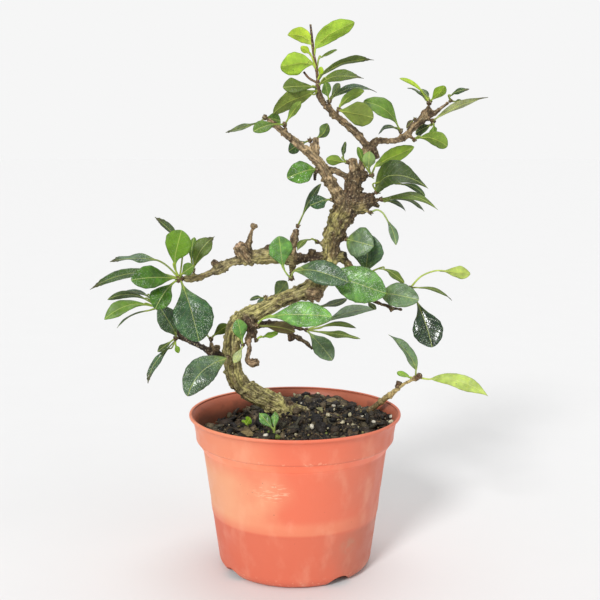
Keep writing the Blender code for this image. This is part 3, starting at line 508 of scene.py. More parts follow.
@dataclass(frozen=True)
class LeafFinish:
    """Waxy leaf: tinted by the mesh, with ribs, side veins, pale dots that are also painted glints, and a
    glossy coat.
    """

    rib_width: float = 0.4
    vein_share: float = 0.12
    dot_spacing: float = 0.85
    pale: Rgb = (206, 216, 120)
    brighter: Rgb = (1.55, 1.4, 1.0)
    glow: float = 0.12
    glow_reach: float = 0.002
    glow_tint: Rgb = (0.6, 1.0, 0.25)
    dot_and_glint: Rgb = (206, 220, 200)
    dried: Rgb = (70, 62, 40)

    def material(self) -> Material:
        """Return the leaf material."""
        recipe = Recipe("leaf")
        tint = recipe.held("tint", "Color")
        under = recipe.held("under")
        gloss = recipe.held("gloss")
        clouds = recipe.patches(7.0, 4.0, 0.34, 0.66)
        base = recipe.darker(tint, recipe.step(gloss, 0.3, 1.0, 0.3, 0.46), clouds)
        light = recipe.times(recipe.patches(2.4, 5.0, 0.46, 0.7), recipe.step(gloss, 0.3, 1.0, 0.25, 0.9))
        base = recipe.mix(light, base, self.brighter, "MULTIPLY")
        rib = recipe.step(recipe.math("ABSOLUTE", recipe.held("rib")), self.rib_width, 0.1)
        base = recipe.over(base, self.pale, rib, 0.42)
        wave = recipe.minus(recipe.math("FRACT", recipe.held("vein")), 0.5)
        vein = recipe.step(recipe.math("ABSOLUTE", wave), self.vein_share, 0.0)
        base = recipe.over(base, self.pale, vein, 0.06)
        base = recipe.darker(base, 0.3, recipe.step(recipe.held("edge"), 0.1, 0.7))
        upper = recipe.times(recipe.minus(1.0, under), recipe.math("MINIMUM", gloss, 1.0))
        # Pale dots on glossy upper faces, densest in patches and towards the tip: partly the leaf's own
        # white dots, partly painted glints.
        dots = recipe.times(recipe.spots(self.dot_spacing, 0.42, 0.14), upper)
        dotted_and_glinting = recipe.math("MAXIMUM", recipe.patches(11.0, 3.0, 0.44, 0.6),
                              recipe.step(recipe.held("vein"), 3.0, 6.5))
        strewn = recipe.times(dots, dotted_and_glinting)
        base = recipe.over(base, self.dot_and_glint, strewn, 0.62)
        base = recipe.over(base, self.dried, recipe.spots(6.5, 0.085, 0.05), 0.7)
        base = recipe.over(base, self.dried, recipe.held("dry"), 0.85)
        calm = recipe.step(gloss, 1.0, 1.5, 1.0, 0.3)
        recipe.raise_by(recipe.times(recipe.mottle(3.0, 4.0), calm), 0.7, 0.7)
        recipe.raise_by(recipe.minus(dots, recipe.times(vein, 0.5)), 0.16)
        rough = recipe.times(recipe.step(gloss, 0.0, 1.0, 0.55, 0.24), calm)
        rough = recipe.plus(recipe.math("MAXIMUM", rough, 0.13), recipe.times(under, 0.16))
        shader = recipe.shader
        shader.inputs["Subsurface Weight"].default_value = self.glow
        shader.inputs["Subsurface Scale"].default_value = self.glow_reach
        shader.inputs["Subsurface Radius"].default_value = self.glow_tint
        return recipe.finished(base, rough)


@dataclass(frozen=True)
class BarkFinish:
    """Rough bark: tinted by the mesh, fibrous along each branch, with lichen, pale flecks, dark cracks and
    painted shade in hollows.
    """

    # Dark crack colour, also laid as painted shade in the hollows.
    crack: Rgb = (48, 36, 26)
    brown: Rgb = (122, 94, 66)
    lichen_and_painted_light: Rgb = (212, 204, 124)
    fleck: Rgb = (222, 204, 166)

    def material(self) -> Material:
        """Return the bark material."""
        recipe = Recipe("bark")
        tint = recipe.held("tint", "Color")
        grain = recipe.held("grain", "Vector")
        fibre = recipe.mottle(1.2, 7.0, grain)
        plates = recipe.mottle(2.6, 7.0)
        fine = recipe.mottle(0.8, 5.0)
        base = recipe.darker(tint, 0.42, recipe.patches(5.0, 5.0, 0.38, 0.62))
        base = recipe.over(base, self.brown, recipe.patches(9.0, 5.0, 0.5, 0.58), 0.5)
        # Lichen where the moss value is high; that value is raised where the trunk's top gets its painted
        # light.
        bloom = recipe.times(recipe.patches(3.4, 6.0, 0.42, 0.56, grain), recipe.held("moss"))
        base = recipe.over(base, self.lichen_and_painted_light, bloom, 0.6)
        base = recipe.over(base, self.fleck, recipe.patches(1.5, 6.0, 0.55, 0.64), 0.55)
        base = recipe.darker(base, 0.58, recipe.step(fibre, 0.42, 0.53))
        knobby = recipe.step(recipe.held("moss"), 0.0, 1.2, 0.42, 0.12)
        base = recipe.darker(base, knobby, recipe.step(plates, 0.38, 0.52))
        # Dark cracks, and painted shade in the hollows between lumps and pits.
        base = recipe.over(base, self.crack, recipe.held("crack_and_hollow_shade"), 0.9)
        recipe.raise_by(fibre, 1.0)
        recipe.raise_by(plates, 1.0)
        recipe.raise_by(fine, 0.3, 0.8)
        return recipe.finished(base, recipe.step(fine, 0.3, 0.7, 0.9, 0.62))


@dataclass(frozen=True)
class StemFinish:
    """Young stem: tinted by the mesh, with fine lengthwise grain and small corky spots."""

    spot: Rgb = (84, 58, 40)
    pale: Rgb = (222, 204, 150)

    def material(self) -> Material:
        """Return the young stem material."""
        recipe = Recipe("young_stem")
        patch = recipe.mottle(2.6, 4.0)
        base = recipe.darker(recipe.held("tint", "Color"), 0.4, recipe.step(patch, 0.4, 0.58))
        base = recipe.over(base, self.spot, recipe.spots(1.9, 0.36, 0.16), 0.75)
        base = recipe.over(base, self.pale, recipe.patches(1.3, 4.0, 0.56, 0.66), 0.4)
        recipe.raise_by(recipe.mottle(0.9, 4.0), 0.3, 0.8)
        return recipe.finished(base, recipe.step(patch, 0.3, 0.7, 0.7, 0.5))


@dataclass(frozen=True)
class PlasticFinish:
    """Plastic: paler on one side, with painted shade and light, a water line, dirt inside, and scuffs."""

    fresh: Rgb = (226, 114, 84)
    pale_tan: Rgb = (232, 162, 122)
    shaded: Rgb = (210, 116, 90)
    foot: Rgb = (212, 107, 80)
    foot_shaded: Rgb = (170, 104, 84)
    inner: Rgb = (180, 100, 74)
    dirt: Rgb = (72, 52, 40)
    scuff: Rgb = (255, 214, 180)
    grime: Rgb = (170, 148, 122)
    ledge_painted_light: Rgb = (1.3, 1.26, 1.22)
    line_low: float = 40.0
    line_high: float = 47.6
    step_edge: float = 92.3
    scratches: Rgb = (-15.5, -60.0, 71.0)
    scratch_reach: Rgb = (16.0, 30.0, 9.0)
    stain: Rgb = (-66.0, 10.0, 96.0)
    stain_reach: Rgb = (24.0, 46.0, 11.0)
    smear: Rgb = (36.0, -45.0, 27.8)
    smear_reach: Rgb = (8.0, 15.0, 8.0)

    def outside(self, recipe: Recipe, x: object, z: object, drift: object) -> Socket:
        """Return the outer wall's colour: paler left, water line, painted shade and painted light, then
        wear.
        """
        side = recipe.plus(x, drift)
        above = recipe.step(recipe.plus(z, recipe.times(drift, 0.1)), 40.0, 50.0)
        high = recipe.step(z, 88.0, 72.0, 0.45, 1.0)
        # Paler towards the left, above the water line.
        pale = recipe.times(recipe.times(recipe.step(side, 2.0, -44.0), above), high)
        base = recipe.mix(pale, linear(self.fresh), linear(self.pale_tan))
        base = recipe.over(base, self.foot, recipe.step(z, self.line_low + 1.2, self.line_low - 2.0), 0.85)
        band = recipe.times(recipe.step(z, self.line_low - 1.2, self.line_low + 1.2),
                            recipe.step(z, self.line_high + 4.0, self.line_high - 2.0))
        base = recipe.over(base, self.pale_tan, band, 0.3)
        # Painted shade: the right side is darker, and darker still low on the right.
        base = recipe.over(base, self.shaded, recipe.step(side, 4.0, 58.0), 0.8)
        low_right = recipe.times(recipe.step(side, 14.0, 50.0), recipe.step(z, 40.0, 36.0))
        base = recipe.over(base, self.foot_shaded, low_right, 0.45)
        # Painted light: the ledge that faces down under the collar is made brighter so that it shows no
        # shade.
        under_step_light = recipe.times(recipe.step(z, 84.0, 87.0), recipe.step(z, 92.0, 91.0))
        return self.worn(recipe, recipe.mix(under_step_light, base, self.ledge_painted_light, "MULTIPLY"), z)

    def worn(self, recipe: Recipe, base: object, z: object) -> Socket:
        """Return the colour with scuffs, scratches, a faint smear and specks of dirt over it."""
        clouds = recipe.step(recipe.mottle(14.0, 5.0, recipe.stretched((1.0, 1.0, 0.6))), 0.5, 0.8)
        base = recipe.over(base, self.scuff, clouds, 0.16)
        lines = recipe.step(recipe.mottle(1.5, 3.0, recipe.stretched((0.3, 0.3, 2.4))), 0.56, 0.63)
        scratched = recipe.times(lines, recipe.near(self.scratches, self.scratch_reach))
        base = recipe.over(base, self.scuff, scratched, 0.55)
        rim = recipe.step(recipe.math("ABSOLUTE", recipe.minus(z, self.step_edge)), 2.4, 0.6)
        wear = recipe.times(recipe.patches(2.6, 4.0, 0.57, 0.68),
                            recipe.math("MAXIMUM", recipe.step(z, 9.0, 2.0), rim))
        base = recipe.over(base, self.scuff, wear, 0.24)
        smears = recipe.times(recipe.near(self.smear, self.smear_reach), recipe.patches(7.0, 3.0, 0.3, 0.7))
        base = recipe.over(base, self.grime, smears, 0.42)
        specks = recipe.times(recipe.spots(7.0, 0.06, 0.035), recipe.patches(16.0, 2.0, 0.5, 0.6))
        recipe.raise_by(lines, 0.03, 0.4)
        return recipe.over(base, self.dirt, specks, 0.7)

    def inner_side(self, recipe: Recipe, z: object, drift: object) -> Socket:
        """Return the inner wall's colour, dirtier low down and at the stain."""
        dusty = recipe.patches(9.0, 4.0, 0.52, 0.72)
        base = recipe.over(linear(self.inner), self.dirt, dusty, 0.35)
        low = recipe.step(recipe.plus(z, recipe.times(drift, 0.2)), 104.0, 97.0)
        soiled = recipe.math("MAXIMUM", recipe.near(self.stain, self.stain_reach), low)
        return recipe.over(base, self.dirt, soiled, 0.68)

    def material(self) -> Material:
        """Return the pot's plastic material."""
        recipe = Recipe("terracotta_plastic")
        z = recipe.axis("Z")
        drift = recipe.times(recipe.minus(recipe.mottle(30.0, 4.0), 0.5), 50.0)
        base = recipe.mix(recipe.held("inside"), self.outside(recipe, recipe.axis("X"), z, drift),
                          self.inner_side(recipe, z, drift))
        recipe.raise_by(recipe.mottle(24.0, 2.0), 1.2, 0.35)
        recipe.raise_by(recipe.mottle(0.9, 3.0), 0.05, 0.5)
        rough = recipe.step(recipe.mottle(12.0, 4.0), 0.35, 0.7, 0.4, 0.58)
        return recipe.finished(base, rough)


@dataclass(frozen=True)
class MixFinish:
    """Damp potting mix: near black, with brown fibres and fine grit."""

    wet: Rgb = (22, 18, 16)
    dry: Rgb = (74, 64, 50)
    fibre: Rgb = (138, 122, 92)

    def material(self) -> Material:
        """Return the potting mix material."""
        recipe = Recipe("potting_mix")
        lumps = recipe.mottle(3.4, 6.0)
        base = recipe.mix(recipe.step(lumps, 0.42, 0.68), linear(self.wet), linear(self.dry))
        base = recipe.over(base, self.fibre, recipe.patches(0.8, 3.0, 0.58, 0.66), 0.6)
        recipe.raise_by(recipe.mottle(1.4, 6.0), 0.9, 0.9)
        return recipe.finished(base, recipe.step(lumps, 0.4, 0.6, 0.6, 0.9))


@dataclass(frozen=True)
class GritFinish:
    """Loose bits on the mix: tinted by the mesh, with a dusty, uneven surface."""

    def material(self) -> Material:
        """Return the material of crumbs, perlite, flakes and twigs."""
        recipe = Recipe("loose_bits")
        patch = recipe.mottle(1.2, 4.0)
        base = recipe.darker(recipe.held("tint", "Color"), 0.45, recipe.step(patch, 0.4, 0.62))
        recipe.raise_by(recipe.mottle(0.6, 3.0), 0.3, 0.7)
        return recipe.finished(base, recipe.step(patch, 0.3, 0.7, 0.85, 0.5))


@dataclass(frozen=True)
class FloorFinish:
    """Plain matt paper under the pot."""

    paper: float = 0.78

    def material(self) -> Material:
        """Return the floor's material."""
        recipe = Recipe("floor_paper")
        grain = recipe.mottle(60.0, 2.0)
        low, high = self.paper * 0.995, self.paper
        base = recipe.mix(recipe.step(grain, 0.3, 0.7), (low,) * 3, (high,) * 3)
        return recipe.finished(base, 0.9, 0.1)


# Leaves


class Tone(Enum):
    """Leaf colours, as display values of the upper face and the underside, and the gloss."""

    BRIGHT = ((182, 216, 44), (204, 234, 68), 0.35)
    STRAW = ((190, 212, 100), (196, 216, 112), 0.5)
    LIGHT = ((132, 176, 40), (172, 208, 66), 0.35)
    LIME = ((100, 140, 24), (140, 172, 46), 0.4)
    FRESH = ((104, 156, 74), (140, 176, 90), 1.0)
    GREEN = ((66, 110, 26), (104, 140, 50), 0.9)
    MID = ((98, 132, 42), (132, 160, 62), 0.4)
    DARK = ((56, 84, 32), (94, 116, 48), 0.6)
    DEEP = ((54, 90, 52), (98, 122, 64), 1.0)
    OLIVE = ((92, 112, 36), (118, 134, 54), 0.3)
    DARK_OLIVE = ((58, 78, 22), (94, 112, 42), 0.35)
    SAGE = ((140, 170, 98), (152, 178, 108), 0.5)
    GREY = ((110, 138, 98), (142, 162, 114), 0.7)
    DARK_GREY = ((76, 104, 74), (112, 132, 90), 1.0)
    BLACK = ((38, 54, 40), (80, 98, 60), 1.5)
    WET = ((86, 132, 48), (136, 172, 84), 1.5)
    MIST = ((86, 112, 84), (116, 134, 96), 1.25)
    BROWN = ((88, 78, 42), (108, 96, 60), 0.2)
    PALE = ((170, 182, 118), (178, 186, 130), 0.6)


class Tip(Enum):
    """How a blade ends: the power of its outline there, and how dry the end is."""

    ROUND = (0.6, 0.0)
    OVAL = (0.78, 0.0)
    POINTED = (1.1, 0.0)
    WITHERED = (1.35, 1.0)


@dataclass(frozen=True)
class Leaf:
    """One leaf, with its base and tip as readings, and face in degrees from the viewer.

    arch bows the blade towards its upper face and sway bows it upwards across the view. A
    larger belly puts the widest place nearer the tip.
    """

    base: Reading
    tip: Reading
    width: float
    tone: Tone
    face: float
    arch: float = 0.0
    sway: float = 0.0
    fold: float = 14.0
    via: tuple[Reading, ...] = ()
    belly: float = 1.3
    end: Tip = Tip.ROUND
    twist: float = 0.0
    wave: float = 1.0


@dataclass(frozen=True)
class Blade:
    """Where one blade lies: its ends, the way its upper face looks, and how it bows.

    foot is how far its narrow foot runs back along the stalk, and twist is in radians.
    """

    base: Array
    tip: Array
    normal: Array
    bow: Array
    width: float
    fold: float
    belly: float
    tone: Tone
    end: Tip = Tip.ROUND
    twist: float = 0.0
    wave: float = 1.0
    foot: Array = field(default_factory=lambda: np.zeros(3))

    def length(self) -> float:
        """Return the distance from base to tip."""
        return np.linalg.norm(self.tip - self.base)

    def dryness(self, u: Array) -> Array:
        """Return how withered the blade is at shares of its length."""
        return self.end.value[1] * fade(u, 0.7, 0.92)


@dataclass
class LeafMaker:
    """Makes leaves: blades as thin curved skins, and stalks that run on as midribs."""

    stations: int = 30
    columns: int = 15
    thickness: float = 0.5
    stalk_width: float = 1.3
    folded_width: float = 9.0
    narrow_fold: float = 6.0
    fullness: float = 0.66
    base_taper: float = 1.15
    foot_share: float = 0.16
    ripple: float = 0.09
    margin_roll: float = 0.1
    scallop: float = 0.022
    torn: float = 0.25
    groove_depth: float = 0.2
    groove_width: float = 0.55
    phase_step: float = 2.399
    vein_spacing: float = 4.4
    base_green: Rgb = (150, 176, 76)
    stalk_green: Rgb = (178, 192, 84)
    finish: int = 0
    made: int = 0

    def outline(self, u: Array, belly: float, end: Tip) -> Array:
        """Return the half width as a share: sin(pi * u^belly)^power.

        The power runs from the base's taper to that of the leaf's own tip, so that the base
        is a slim wedge, or a full one where the leaf is widest low down.
        """
        taper = self.fullness + (self.base_taper - self.fullness) * min(max(belly - 0.8, 0) / 0.5, 1)
        power = taper + (end.value[0] - taper) * fade(u, 0.1, 0.62)
        return np.sin(math.pi * np.clip(u, 0, 0.9999) ** belly) ** power

    def laid_out(self, root: Array, leaf: Leaf) -> Blade:
        """Work out where a leaf's blade lies and which way it faces.

        The face turns from the viewer about the leaf's length: normal = facing * cos(face)
        + upward * sin(face), and the middle line bows by normal * arch + upward * sway.

        Args:
            root: Where its stalk starts.
            leaf: The leaf's readings.

        Returns:
            Its blade.
        """
        base, tip = VIEW.at(leaf.base), VIEW.at(leaf.tip)
        along = unit(tip - base)
        to_eye = VIEW.eye() - (base + tip) / 2
        facing = unit(to_eye - along * (to_eye @ along))
        upward = np.cross(along, facing)
        upward = upward if upward[2] >= 0 else -upward
        turn = math.radians(leaf.face)
        normal = facing * math.cos(turn) + upward * math.sin(turn)
        bow = normal * leaf.arch + upward * leaf.sway
        fold = leaf.fold if leaf.width >= self.folded_width else self.narrow_fold
        before = VIEW.at(leaf.via[-1]) if leaf.via else root
        back = before - base
        reach = min(0.75 * np.linalg.norm(back), self.foot_share * np.linalg.norm(tip - base))
        return Blade(base, tip, normal, bow, leaf.width, fold, leaf.belly, leaf.tone, leaf.end,
                     math.radians(leaf.twist), leaf.wave, unit(back) * reach)

    def middle(self, blade: Blade, u: Array) -> Array:
        """Return the middle line: base + (tip - base) * u + bow * 4u(1 - u).

        It starts on the stalk: foot * (1 - 3u)^2 is added over the first third.
        """
        share = u[:, None]
        line = blade.base + (blade.tip - blade.base) * share + blade.bow * 4 * share * (1 - share)
        return line + blade.foot * np.clip(1 - 3 * share, 0, 1) ** 2

    def directions(self, blade: Blade, u: Array, phase: float) -> tuple[Array, Array]:
        """Return the ways across the blade and up from it, turned about its length by its twist."""
        ways = unit(np.gradient(self.middle(blade, u), axis=0))
        flat_wings = unit(np.cross(blade.normal, ways))
        flat_ups = np.cross(ways, flat_wings)
        turned = (blade.twist * (u - 0.35) + 0.12 * math.sin(phase) * u)[:, None]
        wings = flat_wings * np.cos(turned) + flat_ups * np.sin(turned)
        return wings, np.cross(ways, wings)

    def half_widths(self, blade: Blade, u: Array, phase: float) -> Array:
        """Return half the width along the blade, with a wavy edge that is torn where it is dry."""
        place = u * blade.length()
        edge = 1 + self.scallop * np.sin(place * 1.1 + phase) * fade(u, 0.1, 0.3)
        edge = edge + self.torn * blade.dryness(u) * np.sin(place * 2.3 + phase)
        half = blade.width / 2 * self.outline(u, blade.belly, blade.end) * edge
        return np.maximum(half, self.stalk_width / 2 * (1 - 0.6 * fade(u, 0.9, 1.0)))

    def lift(self, blade: Blade, u: Array, v: Array, phase: float) -> Array:
        """Return how high the blade stands over its middle line, in half widths.

        It is sin(fold) * |v| + ripple * v^2 * sin(waves) - roll * v^4, with the fold's crease
        rounded.
        """
        waves = math.tau * (u * (1.2 + 0.5 * math.sin(phase)) + 0.17 * np.sign(v)) + phase
        ripple = self.ripple * blade.wave * (1 + 0.7 * math.sin(phase * 1.7)) + 0.35 * blade.dryness(u)
        folded = math.sin(math.radians(blade.fold)) * (np.sqrt(v ** 2 + 0.006) - 0.077)
        return folded + ripple * v ** 2 * np.sin(waves) - self.margin_roll * v ** 4

    def skin_of(self, blade: Blade) -> Surface:
        """Make a blade's skin.

        A point at u along and v across, from -1 to 1, is middle(u) + wing * v * half *
        cos(fold) + up * lift * half, with a groove along the midrib on the upper side.

        Args:
            blade: Where the blade lies.

        Returns:
            Its closed skin.
        """
        self.made += 1
        phase = self.made * self.phase_step
        turn = np.linspace(0, 1, self.stations)
        u = 0.2 * turn + 0.8 * (1 - np.cos(math.pi * turn)) / 2
        wings, ups = self.directions(blade, u, phase)
        half = self.half_widths(blade, u, phase)[:, None]
        spread = np.linspace(-1, 1, self.columns)
        v = (np.sign(spread) * np.abs(spread) ** 1.45)[None, :]
        lift = self.lift(blade, u[:, None], v, phase) * half
        groove = self.groove_depth * np.exp(-(v * half / self.groove_width) ** 2)
        thick = self.thickness / 2 * (1 - 0.55 * v ** 4)
        reach = v * half * math.cos(math.radians(blade.fold))
        flat = self.middle(blade, u)[:, None] + wings[:, None] * reach[..., None]
        upper = flat + ups[:, None] * (lift + thick - groove)[..., None]
        lower = flat + ups[:, None] * (lift - thick)[..., None]
        every = np.ones((len(u), 2 * self.columns))
        across = np.concatenate([v, v[:, ::-1]], axis=1) * every
        under = np.concatenate([np.ones_like(v), np.zeros_like(v)], axis=1) * every
        top, back = linear(blade.tone.value[0]), linear(blade.tone.value[1])
        tint = (top + (back - top) * under[..., None]) * (1 + 0.1 * math.sin(phase * 3.1))
        young = 0.4 * (1 - fade(u, 0.0, 0.3))[:, None, None]
        tint = tint * (1 - young) + linear(self.base_green) * young
        vein = (u[:, None] * blade.length() - 0.8 * np.abs(across) * half) / self.vein_spacing
        return skin(np.concatenate([lower, upper[:, ::-1]], axis=1), self.finish, tint=tint,
                    under=under, vein=vein, rib=across * half, gloss=every * blade.tone.value[2],
                    dry=blade.dryness(u)[:, None] * every,
                    edge=(1 - np.abs(across)) * half + 2 * (1 - fade(u, 0, 0.2))[:, None])

    def stalk(self, root: Array, via: Array, blade: Blade) -> Surface:
        """Make the stalk: a thin tube from the root to the blade, then on along its back."""
        u = np.array([0.0, 0.14, 0.32, 0.55, 0.8])
        ups = unit(blade.normal)
        rib = self.middle(blade, u) - ups * 0.34
        rib[0] = blade.base
        knots = np.vstack([root, via.reshape(-1, 3), rib])
        sizes = np.array([0.78] + [0.62] * len(via) + [0.56, 0.5, 0.4, 0.28, 0.12])
        steps = 5
        path = flow(knots, steps)
        radii = flow(sizes[:, None], steps)[:, 0]
        tint = 0.5 * linear(blade.tone.value[1]) + 0.5 * linear(self.stalk_green)
        surface = tube(path, np.maximum(radii, 0.08), 8, tint, self.finish)
        surface.mark_plain()
        return surface

    def leaf(self, root: Array, leaf: Leaf) -> list[Surface]:
        """Make a whole leaf from its root: the stalk and the blade."""
        blade = self.laid_out(root, leaf)
        via = VIEW.at(np.array(leaf.via).reshape(-1, 3))
        return [self.stalk(root, via, blade), self.skin_of(blade)]


@dataclass(frozen=True)
class Spray:
    """A leafy bud: its centre and size, its foot on the wood, the spur's size, and leaves."""

    hub: Reading
    size: float
    foot: Reading
    foot_size: float
    leaves: tuple[Leaf, ...]


